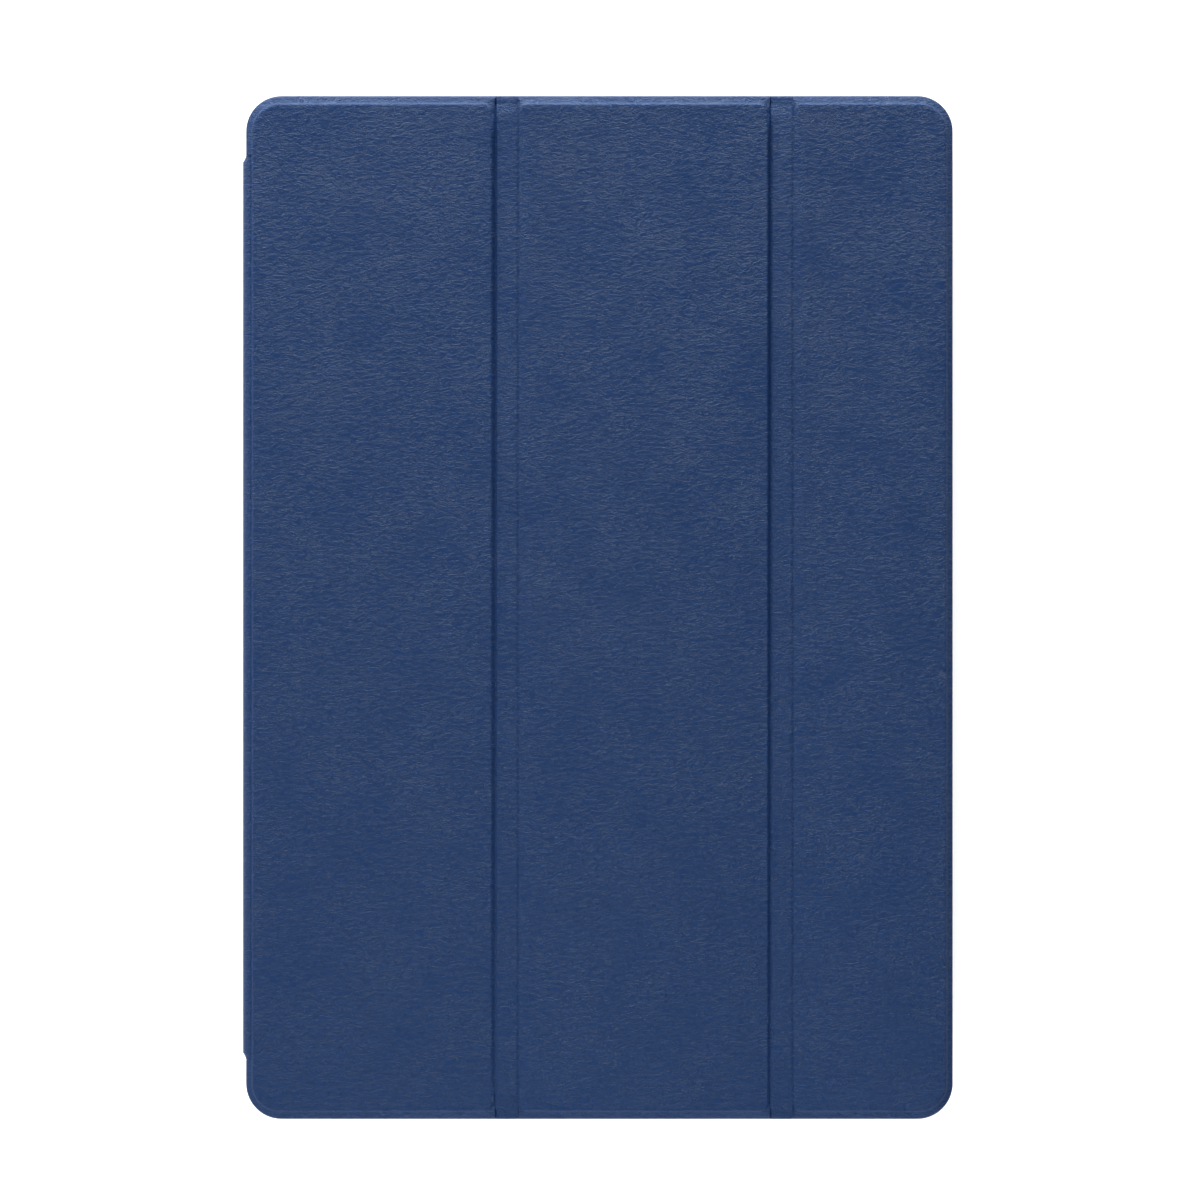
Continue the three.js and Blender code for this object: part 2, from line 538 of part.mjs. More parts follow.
function addKeyboard(parent) {
  const u = [-KB_HALF_U, KB_HALF_U];
  const v = [-KB_HALF_V, KB_HALF_V];
  const radii = [KB_CORNER, KB_CORNER, KB_CORNER, KB_CORNER];
  const blocks = layOutKeys();
  const caps = blocks.flatMap((block) => block.caps);
  const wellW = [DECK_UNDER - 1, DECK_TOP + 1];
  const wells = caps.map((cap) => grown(cap, WELL_GAP)).map((well) => box(well.u, well.v, wellW));
  const buttonWell = box(
    centred(PAIR_BUTTON.u, PAIR_BUTTON.width + 2 * WELL_GAP),
    centred(PAIR_BUTTON.v, PAIR_BUTTON.depth + 2 * WELL_GAP),
    wellW,
  );
  const lensWell = box(
    centred(LENS.u, LENS.width + 2 * GLUE),
    centred(LENS.v, LENS.depth + 2 * GLUE),
    wellW,
  );
  const sheet = plate(inset(u, v, radii, DECK_ROUND), [DECK_UNDER, DECK_TOP]);
  const top = cut(solid(sheet), ...wells, buttonWell, lensWell);
  const rim = stack([
    { points: outline(u, v, radii), z: DECK_BOTTOM },
    { points: outline(u, v, radii), z: DECK_TOP - DECK_ROUND },
    { points: inset(u, v, radii, DECK_ROUND), z: DECK_TOP },
  ]);
  const hollow = stack([
    { points: inset(u, v, radii, DECK_WALL), z: DECK_BOTTOM - 1 },
    { points: inset(u, v, radii, DECK_WALL), z: DECK_TOP + 1 },
  ]);
  const through = [KB_HALF_V - DECK_WALL - 1, KB_HALF_V + 1];
  const switchWindow = box(centred(SWITCH.u, SWITCH.window), through, SWITCH_WINDOW_W);
  const usbWindow = box(
    centred(USB.u, USB.width + 2 * USB_WINDOW.side),
    through,
    [DECK_BOTTOM - 1, USB_WINDOW.top],
  );
  const wall = cut(solid(rim), hollow);
  add(parent, "keyboard_deck", cut(wall.add(top), switchWindow, usbWindow), "deck");
  const pocketW = [-1, BASE_TOP + 1];
  const keepers = [
    ["keeper_left", mirrored(KEEPER.u)],
    ["keeper_right", KEEPER.u],
  ];
  const base = solid(plate(outline(u, v, radii), [0, BASE_TOP]));
  const pockets = keepers.map(([, side]) => box(side, KEEPER.v, pocketW));
  add(parent, "keyboard_base", cut(base, ...pockets), "aluminium");
  for (const [name, side] of keepers) {
    const keeperU = [side[0] + GLUE, side[1] - GLUE];
    const keeperV = [KEEPER.v[0] + GLUE, KEEPER.v[1] - GLUE];
    add(parent, name, box(keeperU, keeperV, [0, BASE_TOP - GLUE]), "steel");
  }

  const sheetU = [-KB_HALF_U + SHEET_MARGIN, KB_HALF_U - SHEET_MARGIN];
  const sheetV = [KEYS_FAR - FUNCTION_PITCH - 5 * ROW_PITCH, KEYS_FAR - WEB_REACH];
  const pegV = centred(sheetV[0] + PEG_HOLE.inset, PEG_HOLE.depth);
  const pegs = [-PEG_HOLE.u, PEG_HOLE.u].map((at) => box(centred(at, PEG_HOLE.width), pegV, pocketW));
  const film = solid(box(sheetU, sheetV, SHEET_W));
  add(parent, "contact_sheet", cut(film, ...pegs), "film");
  const membrane = join(box(sheetU, sheetV, MEMBRANE_W), ...caps.map(dome));
  add(parent, "key_membrane", membrane, "silicone");

  const block = ({ u: bu, v: bv, w }) => box(bu, bv, w);
  add(parent, "battery", block(BATTERY), "cell");
  add(parent, "control_board", join(block(CIRCUIT), ...CHIPS.map(block)), "circuit");

  const usbV = [KB_HALF_V - USB.depth, KB_HALF_V - 0.1];
  const usbW = [USB.low, USB.low + USB.height];
  const usbShell = cut(
    solid(box(centred(USB.u, USB.width), usbV, usbW)),
    box(
      centred(USB.u, USB.width - 2 * USB.wall),
      [usbV[0] + 2 * USB.wall, usbV[1] + 1],
      [usbW[0] + USB.wall, usbW[1] - USB.wall],
    ),
  );
  add(parent, "charge_port", usbShell, "steel");
  const lensW = [DECK_UNDER - USB.wall, DECK_TOP - GLUE];
  const lens = box(centred(LENS.u, LENS.width), centred(LENS.v, LENS.depth), lensW);
  add(parent, "status_lens", lens, "lens");

  const corners = [
    ["foot_far_left", -1, 1],
    ["foot_far_right", 1, 1],
    ["foot_near_left", -1, -1],
    ["foot_near_right", 1, -1],
  ];
  for (const [name, su, sv] of corners) {
    const pad = new THREE.CylinderGeometry(FOOT.radius, FOOT.radius - FOOT.slope, FOOT.thick, FOOT.sides);
    pad.rotateX(Math.PI / 2).translate(su * FOOT.u, sv * FOOT.v, -GLUE - FOOT.thick / 2);
    add(parent, name, pad, "rubber");
  }

  for (const keys of blocks) add(parent, keys.name, keyBlock(keys), "keycap");

  const wallIn = KB_HALF_V - DECK_WALL;
  const knobMiddle = SWITCH.u + (SWITCH.knob - SWITCH.window) / 2 + SWITCH_REST_GAP;
  const knob = join(
    box(centred(knobMiddle, SWITCH.knob), [wallIn - 0.3, KB_HALF_V + SWITCH.proud], SWITCH_KNOB_W),
    box(
      centred(knobMiddle, SWITCH.flange),
      [wallIn + SWITCH_FLANGE_V[0], wallIn + SWITCH_FLANGE_V[1]],
      SWITCH_FLANGE_W,
    ),
  );
  add(parent, "power_switch", knob, "keycap");
  const button = join(
    box(
      centred(PAIR_BUTTON.u, PAIR_BUTTON.width),
      centred(PAIR_BUTTON.v, PAIR_BUTTON.depth),
      [BUTTON_FLANGE_W[0] + 0.1, DECK_TOP + BUTTON_PROUD],
    ),
    box(
      centred(PAIR_BUTTON.u, PAIR_BUTTON.width + 2 * BUTTON_FLANGE),
      centred(PAIR_BUTTON.v, PAIR_BUTTON.depth + 2 * BUTTON_FLANGE),
      BUTTON_FLANGE_W,
    ),
  );
  add(parent, "pair_button", button, "keycap");
}

const group = new THREE.Group();
group.name = "tablet_keyboard_case";
addTray(group);
addSpine(group);
addCover(group);

// The keyboard lies face down on the tablet side of the cover, its far edge beside the spine.
const keyboard = new THREE.Group();
const facing = new THREE.Matrix4().makeBasis(
  new THREE.Vector3(0, -1, 0),
  new THREE.Vector3(-1, 0, 0),
  new THREE.Vector3(0, 0, -1),
);
keyboard.quaternion.setFromRotationMatrix(facing);
keyboard.position.set(KB_CENTRE_X, 0, KB_BASE_Z);
addKeyboard(keyboard);
group.add(keyboard);

export default group;
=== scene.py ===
"""Tablet keyboard case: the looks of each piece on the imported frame. Metres, +Z up out of the front cover,
+Y towards the camera end, +X from the spine to the free edge."""
import math

import bmesh
import bpy
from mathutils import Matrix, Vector


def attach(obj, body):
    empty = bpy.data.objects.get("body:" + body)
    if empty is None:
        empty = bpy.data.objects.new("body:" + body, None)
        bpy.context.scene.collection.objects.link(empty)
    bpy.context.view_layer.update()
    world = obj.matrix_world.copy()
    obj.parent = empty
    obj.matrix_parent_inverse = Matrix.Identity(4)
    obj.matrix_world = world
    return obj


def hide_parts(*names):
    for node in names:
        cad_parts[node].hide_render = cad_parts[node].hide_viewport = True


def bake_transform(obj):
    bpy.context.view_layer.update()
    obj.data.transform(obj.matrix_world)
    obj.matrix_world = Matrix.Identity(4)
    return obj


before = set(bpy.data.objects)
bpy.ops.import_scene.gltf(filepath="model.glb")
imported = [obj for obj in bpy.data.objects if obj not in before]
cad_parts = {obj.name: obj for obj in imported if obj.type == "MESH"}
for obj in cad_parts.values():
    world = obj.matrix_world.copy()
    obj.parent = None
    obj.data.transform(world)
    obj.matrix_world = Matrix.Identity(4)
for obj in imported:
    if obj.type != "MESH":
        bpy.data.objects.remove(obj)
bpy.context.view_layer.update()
MM = 0.001

# ---- Camera and light ----------------------------------------------------------------------------
scene = bpy.context.scene
scene.view_settings.view_transform = "Standard"
scene.view_settings.look = "None"
camera_data = bpy.data.cameras.new("camera")
camera_data.sensor_width = 36.0
camera_data.lens = 150.0
camera_data.clip_start = 0.05
camera_data.clip_end = 20.0
camera = bpy.data.objects.new("camera", camera_data)
scene.collection.objects.link(camera)
FRAME_WIDTH = 0.3046  # metres across the picture at the height of the cover
camera.location = (0.0006, 0.0019, 0.0173 + camera_data.lens / 36.0 * FRAME_WIDTH)
camera.rotation_euler = (0, 0, 0)
scene.camera = camera

world = bpy.data.worlds.new("studio")
world.use_nodes = True
background = world.node_tree.nodes["Background"]
background.inputs["Color"].default_value = (0.93, 0.95, 1.0, 1)
background.inputs["Strength"].default_value = 0.22
scene.world = world


def area(name, place, size, power, aim=(0, 0, 0), colour=(1, 1, 1)):
    light = bpy.data.lights.new(name, "AREA")
    light.shape = "RECTANGLE"
    light.size, light.size_y = size
    light.energy = power
    light.color = colour
    o = bpy.data.objects.new(name, light)
    o.location = place
    o.rotation_euler = (Vector(aim) - Vector(place)).to_track_quat("-Z", "Y").to_euler()
    scene.collection.objects.link(o)
    return o


area("key_top", (-0.22, 0.80, 0.40), (1.0, 0.34), 6.3)
area("rim_top", (-0.03, 0.62, 0.06), (1.0, 0.10), 9.0, (0, 0.1, 0.01), (1.0, 0.96, 0.90))
area("fill_left", (-1.0, 0.10, 0.45), (0.8, 0.5), 3.6)
area("fill_low", (-0.05, -1.0, 0.70), (1.2, 0.6), 13.2)


# ---- Node helpers --------------------------------------------------------------------------------
class Nodes:
    """A short way to write a material's node tree."""

    def __init__(self, name):
        self.material = bpy.data.materials.new(name)
        self.material.use_nodes = True
        self.tree = self.material.node_tree
        self.shader = self.tree.nodes["Principled BSDF"]

    def add(self, kind, **settings):
        node = self.tree.nodes.new(kind)
        for key, value in settings.items():
            setattr(node, key, value)
        return node

    def link(self, out, into):
        self.tree.links.new(out, into)

    def set(self, **values):
        names = {"rough": "Roughness", "metal": "Metallic", "spec": "Specular IOR Level",
                 "sheen": "Sheen Weight", "sheen_rough": "Sheen Roughness"}
        for key, value in values.items():
            self.shader.inputs[names[key]].default_value = value

    def place(self, source, scale, rotate=(0, 0, 0)):
        """Texture coordinates in millimetres: source is UV (the flat sheet) or Object."""
        if source == "UV":
            coordinate = self.add("ShaderNodeUVMap", uv_map="flat").outputs["UV"]
        else:
            coordinate = self.add("ShaderNodeTexCoord").outputs["Object"]
        mapping = self.add("ShaderNodeMapping")
        mapping.inputs["Scale"].default_value = [1000 * s for s in scale]
        mapping.inputs["Rotation"].default_value = rotate
        self.link(coordinate, mapping.inputs["Vector"])
        return mapping.outputs["Vector"]

    def noise(self, vector, scale=1.0, detail=2.0, rough=0.5, distortion=0.0):
        node = self.add("ShaderNodeTexNoise")
        node.inputs["Scale"].default_value = scale
        node.inputs["Detail"].default_value = detail
        node.inputs["Roughness"].default_value = rough
        node.inputs["Distortion"].default_value = distortion
        self.link(vector, node.inputs["Vector"])
        return node.outputs["Fac"]

    def cells(self, vector, scale=1.0, feature="DISTANCE_TO_EDGE"):
        node = self.add("ShaderNodeTexVoronoi", feature=feature)
        node.inputs["Scale"].default_value = scale
        self.link(vector, node.inputs["Vector"])
        return node.outputs["Distance"]

    def math(self, kind, a, b=None):
        node = self.add("ShaderNodeMath", operation=kind)
        for socket, value in zip(node.inputs, (a, b)):
            if value is None:
                continue
            if isinstance(value, (int, float)):
                socket.default_value = value
            else:
                self.link(value, socket)
        return node.outputs[0]

    def remap(self, value, low, high, to_low=0.0, to_high=1.0):
        node = self.add("ShaderNodeMapRange")
        for i, v in enumerate((low, high, to_low, to_high), start=1):
            node.inputs[i].default_value = v
        self.link(value, node.inputs[0])
        return node.outputs[0]

    def tint(self, factor, low, high):
        """A colour that goes from low to high with the factor."""
        node = self.add("ShaderNodeMix", data_type="RGBA")
        self.link(factor, node.inputs["Factor"])
        node.inputs[6].default_value = (*low, 1)
        node.inputs[7].default_value = (*high, 1)
        return node.outputs[2]

    def bump(self, height, distance):
        node = self.add("ShaderNodeBump")
        node.inputs["Strength"].default_value = 1.0
        node.inputs["Distance"].default_value = distance
        self.link(height, node.inputs["Height"])
        self.link(node.outputs["Normal"], self.shader.inputs["Normal"])


def linear(r, g, b):
    """A colour given in 0-255 screen values, as the shader wants it."""
    out = []
    for c in (r, g, b):
        c /= 255
        out.append(c / 12.92 if c <= 0.04045 else ((c + 0.055) / 1.055) ** 2.4)
    return tuple(out)


def shade(colour, by):
    return tuple(c * by for c in colour)


# ---- Materials -----------------------------------------------------------------------------------
def make_leather():
    """Navy polyurethane leather: fine crosswise wrinkles that come and go in patches, and pores."""
    m = Nodes("navy_leather")
    long_wrinkle = m.place("UV", (0.42, 0.78, 1), (0, 0, 0.15))
    crossing = m.place("UV", (0.42, 0.86, 1), (0, 0, 0.32))
    pebble = m.place("UV", (0.8, 1.5, 1))
    broad = m.place("UV", (1, 1, 1))
    wrinkle = m.noise(long_wrinkle, 1.1, 3.0, 0.55, 1.3)
    ridge = m.remap(m.math("ABSOLUTE", m.math("SUBTRACT", wrinkle, 0.5)), 0.0, 0.13)
    web = m.remap(m.cells(crossing, 1.0), 0.0, 0.26)
    grain = m.remap(m.cells(pebble, 1.1), 0.0, 0.32)
    pores = m.noise(broad, 3.6, 2.0, 0.6)
    patch = m.remap(m.noise(broad, 0.06, 2.0, 0.5), 0.34, 0.66, 0.55, 1.0)
    height = m.math("MULTIPLY", m.math("ADD", ridge, m.math("MULTIPLY", web, 0.5)), patch)
    height = m.math("ADD", height, m.math("MULTIPLY", grain, 0.30))
    height = m.math("ADD", height, m.math("MULTIPLY", pores, 0.30))
    m.bump(height, 0.00014)
    tone = m.remap(m.noise(broad, 0.05, 3.0, 0.6), 0.3, 0.7, 0.0, 1.0)
    base = linear(24, 50, 94)
    # The colour follows the bump height: painted shade in the wrinkle and grain valleys and painted highlight on their
    # crests, mixed with a random tone.
    mixed = m.math("ADD", m.math("MULTIPLY", tone, 0.10), m.math("MULTIPLY", m.remap(height, 0.3, 1.9), 0.90))
    m.link(m.tint(mixed, shade(base, 0.86), shade(base, 1.12)), m.shader.inputs["Base Color"])
    m.link(m.remap(m.noise(broad, 0.9, 2.0), 0.3, 0.7, 0.39, 0.47), m.shader.inputs["Roughness"])
    m.set(spec=0.24)
    m.shader.inputs["Specular Tint"].default_value = (0.74, 0.93, 1.0, 1)
    return m.material


def make_fabric(name, colour, scale=1.0):
    """Short-napped microfibre, with brushed patches."""
    m = Nodes(name)
    fine = m.place("Object", (1, 1, 1))
    nap = m.noise(fine, 7.0 * scale, 3.0, 0.7)
    strands = m.noise(m.place("Object", (2.0, 7.0, 2.0), (0, 0, 0.4)), 1.0 * scale, 2.0, 0.6, 0.5)
    brushed = m.remap(m.noise(fine, 0.06, 2.0), 0.35, 0.65)
    height = m.math("ADD", nap, m.math("MULTIPLY", strands, 0.6))
    m.bump(height, 0.00006)
    mixed = m.math("ADD", m.math("MULTIPLY", brushed, 0.45), m.math("MULTIPLY", nap, 0.55))
    m.link(m.tint(mixed, shade(colour, 0.78), shade(colour, 1.25)), m.shader.inputs["Base Color"])
    m.set(rough=0.92, spec=0.15, sheen=0.35, sheen_rough=0.5)
    return m.material


def make_plastic(name, colour, rough=0.5, grain=3.0, depth=0.00002, spec=0.4):
    """Moulded plastic with a spark-eroded grain, rubbed a little smoother in places."""
    m = Nodes(name)
    fine = m.place("Object", (1, 1, 1))
    spark = m.noise(fine, grain, 3.0, 0.65)
    pits = m.remap(m.cells(fine, grain * 0.9, "F1"), 0.0, 0.8)
    m.bump(m.math("ADD", spark, m.math("MULTIPLY", pits, 0.5)), depth)
    worn = m.remap(m.noise(fine, 0.04, 3.0, 0.6), 0.35, 0.7, rough + 0.03, rough - 0.03)
    m.link(worn, m.shader.inputs["Roughness"])
    tone = m.remap(m.noise(fine, 0.9, 2.0), 0.3, 0.7)
    m.link(m.tint(tone, shade(colour, 0.9), shade(colour, 1.1)), m.shader.inputs["Base Color"])
    m.set(spec=spec)
    return m.material


def make_metal(name, colour, rough=0.32, along=(0.1, 6.0, 6.0)):
    """Brushed or plated metal with fine lines along the piece."""
    m = Nodes(name)
    lines = m.noise(m.place("Object", along), 1.0, 3.0, 0.7)
    m.bump(lines, 0.000006)
    m.link(m.remap(lines, 0.3, 0.7, rough - 0.06, rough + 0.08), m.shader.inputs["Roughness"])
    cloud = m.remap(m.noise(m.place("Object", (1, 1, 1)), 0.15, 2.0), 0.3, 0.7)
    m.link(m.tint(cloud, shade(colour, 0.92), shade(colour, 1.06)), m.shader.inputs["Base Color"])
    m.set(metal=1.0)
    return m.material


def make_board():
    """Grey-brown pressed fibreboard."""
    m = Nodes("fibreboard")
    fibres = m.noise(m.place("Object", (0.8, 2.2, 1.5)), 1.6, 4.0, 0.7, 0.6)
    m.bump(fibres, 0.00008)
    m.link(m.tint(m.remap(fibres, 0.3, 0.7), linear(104, 92, 72), linear(150, 134, 108)), m.shader.inputs["Base Color"])
    m.set(rough=0.9, spec=0.2)
    return m.material


def make_circuit():
    """Green solder mask with copper tracks showing through."""
    m = Nodes("circuit")
    tracks = m.math("LESS_THAN", m.cells(m.place("Object", (1, 1, 1)), 0.45), 0.06)
    mask = m.noise(m.place("Object", (1, 1, 1)), 2.0, 2.0)
    m.bump(mask, 0.00001)
    m.link(m.tint(tracks, linear(22, 84, 50), linear(46, 128, 74)), m.shader.inputs["Base Color"])
    m.set(rough=0.35, spec=0.5)
    return m.material


LEATHER = make_leather()
LINING = make_fabric("microfibre_lining", linear(48, 52, 60))
TRAY = make_plastic("tray_plastic", linear(26, 33, 48), 0.50, 2.6, 0.00004)
SOFT = make_plastic("soft_frame", linear(30, 39, 58), 0.46, 1.2, 0.000012, 0.42)
DECK = make_plastic("keyboard_plastic", linear(27, 29, 33), 0.52, 4.0, 0.000018)
CAP = make_plastic("keycap_plastic", linear(35, 38, 43), 0.47, 5.0, 0.000012, 0.42)
LEGEND = make_plastic("legend_ink", linear(206, 210, 214), 0.55, 6.0, 0.000004, 0.3)
BASE_METAL = make_metal("keyboard_base_metal", linear(66, 69, 75), 0.42)
STEEL = make_metal("port_metal", linear(188, 190, 194), 0.25)
MAGNET = make_metal("magnet_steel", linear(176, 178, 182), 0.28, (3.0, 0.2, 3.0))
RUBBER = make_plastic("foot_rubber", linear(24, 25, 27), 0.85, 3.5, 0.00003, 0.2)
SILICONE = make_plastic("silicone", linear(190, 193, 196), 0.6, 1.0, 0.00001, 0.4)
FILM = make_plastic("film", linear(150, 168, 158), 0.3, 0.6, 0.000004, 0.5)
POUCH = make_metal("battery_wrap", linear(170, 174, 180), 0.3, (0.6, 0.6, 0.6))
LENS = make_plastic("lens", linear(214, 224, 232), 0.15, 0.5, 0.000002, 0.5)
BOARD = make_board()
CIRCUIT = make_circuit()


# ---- Mesh helpers --------------------------------------------------------------------------------
def mesh_object(name, points, faces, material, uv=None, sharp=35.0):
    """A mesh in millimetres, smooth except over sharp edges, with the flat sheet's UV where given."""
    mesh = bpy.data.meshes.new(name)
    mesh.from_pydata([[c * MM for c in p] for p in points], [], faces)
    o = bpy.data.objects.new(name, mesh)
    scene.collection.objects.link(o)
    if uv is not None:
        layer = mesh.uv_layers.new(name="flat")
        for loop in mesh.loops:
            u, v = uv[loop.vertex_index]
            layer.data[loop.index].uv = (u * MM, v * MM)
    mesh.materials.append(material)
    soften(o, sharp)
    return o


def soften(o, sharp=35.0):
    mesh = o.data
    for polygon in mesh.polygons:
        polygon.use_smooth = True
    mesh.set_sharp_from_angle(angle=math.radians(sharp))


def wear(piece, body, slot, *nodes):
    """The piece rides on a body and stands for CAD nodes, which are hidden; the slot is not used."""
    if nodes:
        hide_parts(*nodes)
    if body:
        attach(piece, body)
    return piece


def corner(cx, cy, r, start, steps):
    return [(cx + r * math.cos(start + math.pi / 2 * k / steps), cy + r * math.sin(start + math.pi / 2 * k / steps))
            for k in range(steps + 1)]


def rounded(x, y, r, steps=12):
    """Outline of a rounded rectangle, anticlockwise from the corner at low X and low Y."""
    r = r if isinstance(r, (list, tuple)) else (r, r, r, r)
    r = [max(v, 0.01) for v in r]
    return (corner(x[0] + r[0], y[0] + r[0], r[0], math.pi, steps)
            + corner(x[1] - r[1], y[0] + r[1], r[1], 1.5 * math.pi, steps)
            + corner(x[1] - r[2], y[1] - r[2], r[2], 0, steps)
            + corner(x[0] + r[3], y[1] - r[3], r[3], 0.5 * math.pi, steps))


def bands(n, count):
    """Faces between neighbouring rings of n points, for count gaps."""
    return [(k * n + i, k * n + (i + 1) % n, (k + 1) * n + (i + 1) % n, (k + 1) * n + i)
            for k in range(count) for i in range(n)]


def stack(rings, capped=True):
    """Points and faces of a body through outlines of equal count at the given heights, from the bottom up."""
    n = len(rings[0][0])
    points = [(x, y, z) for outline, z in rings for x, y in outline]
    faces = bands(n, len(rings) - 1)
    if capped:
        faces += [tuple(reversed(range(n))), tuple(range((len(rings) - 1) * n, len(rings) * n))]
    return points, faces


def joined(parts):
    points, faces = [], []
    for p, f in parts:
        base = len(points)
        points += p
        faces += [tuple(i + base for i in face) for face in f]
    return points, faces


def prism(x, y, r, z, steps=6):
    return stack([(rounded(x, y, r, steps), z[0]), (rounded(x, y, r, steps), z[1])])


def carve(o, tools):
    """Cuts closed bodies, given as points and faces, out of an object."""
    mesh = bpy.data.meshes.new("tool")
    points, faces = joined(tools)
    mesh.from_pydata([[c * MM for c in p] for p in points], [], faces)
    tool = bpy.data.objects.new("tool", mesh)
    scene.collection.objects.link(tool)
    cut = o.modifiers.new("cut", "BOOLEAN")
    cut.operation = "DIFFERENCE"
    cut.solver = "EXACT"
    cut.object = tool
    settle(o)
    bpy.data.objects.remove(tool)
    if not o.data.polygons:
        raise ValueError(o.name + " was cut away completely")
    soften(o)


def settle(o):
    """Applies an object's modifiers to its mesh."""
    bpy.context.view_layer.update()
    evaluated = o.evaluated_get(bpy.context.evaluated_depsgraph_get())
    mesh = bpy.data.meshes.new_from_object(evaluated)
    o.modifiers.clear()
    old = o.data
    o.data = mesh
    bpy.data.meshes.remove(old)


# ---- Cover: one leather sheet pressed over three boards ------------------------------------------
HALF = 130.0          # half length of the cover
END = 2.25            # border at the short ends
SIDE = 1.8            # border at the long sides
CORNER = 9.0          # corners of the whole cover
RAISED_CORNER = 6.9   # corners of the raised boards at the cover's corners
INNER_CORNER = 2.2    # corners of the boards beside a fold
GROOVE_WIDTH = (1.0, 0.72)  # the second groove is pressed narrower
COVER = (-89.35, 90.25)
RAISED = ((-87.55, -26.95), (-19.85, 43.15), (49.95, 88.45))
FOLDS = ((-25.45, -20.65), (44.65, 48.95))
LOW_SIDE = 16.74      # leather surface of a fold strip beside the groove
HIGH_SIDE = 17.10     # and beside the next board, where the slack sheet rides up
TOP = 17.3
NOTCH = (-87.95, 114.9)
CREASE_TOP = 16.3     # where the spine's leather meets the border of the first panel

# Each profile: distance outwards from the edge of the raised board, and height, ring by ring.
SHOULDER = [(-0.75, TOP), (-0.35, 17.294), (-0.14, 17.262), (0.0, 17.19), (0.12, 17.07), (0.26, 16.88)]


def hem(reach):
    """The sheet's edge, turned under the cover."""
    return [(reach, 15.60), (reach - 0.05, 15.42), (reach - 1.3, 15.36)]


def outer_profile(reach):
    """The pressed border: a steep step down from the board, then a slope to the rounded edge."""
    slope = [(0.42, 16.68), (0.60, 16.54), (reach - 0.65, 16.22), (reach - 0.28, 16.00), (reach - 0.08, 15.80)]
    return SHOULDER + slope + hem(reach)


def steep_profile(reach):
    """The border along the free edge, flatter and with a tighter roll at its edge."""
    slope = [(0.42, 16.70), (0.60, 16.55), (reach - 0.70, 16.28), (reach - 0.32, 16.10), (reach - 0.12, 15.98)]
    return SHOULDER + slope + hem(reach)


def step_down(reach, width):
    """The right edge of a board: a sharp drop into a groove, then up to the soft strip."""
    ring = [(-0.6, TOP), (-0.32, 17.29), (-0.14, 17.25), (0.0, 17.17), (0.12, 17.04), (0.30, 16.80),
            (0.50, 16.52), (0.72, 16.24), (0.90, 16.10), (1.02, 16.12), (1.18, 16.44)]
    return [(d * width, z) for d, z in ring] + [(reach, LOW_SIDE)] * 3


SHALLOW = 0.42        # depth of the grooves at the far end, as a share of their depth at the camera end


def eased(z, y):
    """The grooves are pressed deep at the camera end and grow shallow towards the other end."""
    return TOP - (TOP - z) * (SHALLOW + (1 - SHALLOW) * (y + HALF) / (2 * HALF))


def step_up(reach):
    """The left edge of a board: the strip meets it in a faint crease only."""
    ring = [(-2.6, TOP), (-1.9, 17.26), (-1.3, 17.20), (-0.8, 17.14), (-0.4, 17.07), (-0.1, 17.0),
            (0.10, 16.95), (0.24, 16.93), (0.40, 16.98), (0.62, 17.06), (reach - 0.04, HIGH_SIDE)]
    return ring + [(reach, HIGH_SIDE)] * 3


# Near a short end a fold strip sags, rises and rolls over: places along it, and drops below its level.
END_STEPS = [HALF - 0.06, HALF - 0.22, HALF - 0.55, HALF - 1.6]
SAG_START = HALF - 3.0
END_SAG = [0.75, 0.55, 0.35, 0.58]


def end_height(y, level):
    """Height of a fold strip near the short ends: it sags a little, rises, and rolls over the edge."""
    y = abs(y)
    if y <= SAG_START:
        return level
    steps = END_STEPS + [SAG_START]
    heights = [level - d for d in END_SAG] + [level]
    for (ya, za), (yb, zb) in zip(zip(steps, heights), zip(steps[1:], heights[1:])):
        if yb <= y <= ya:
            return zb + (za - zb) * (y - yb) / (ya - yb)
    return heights[0]


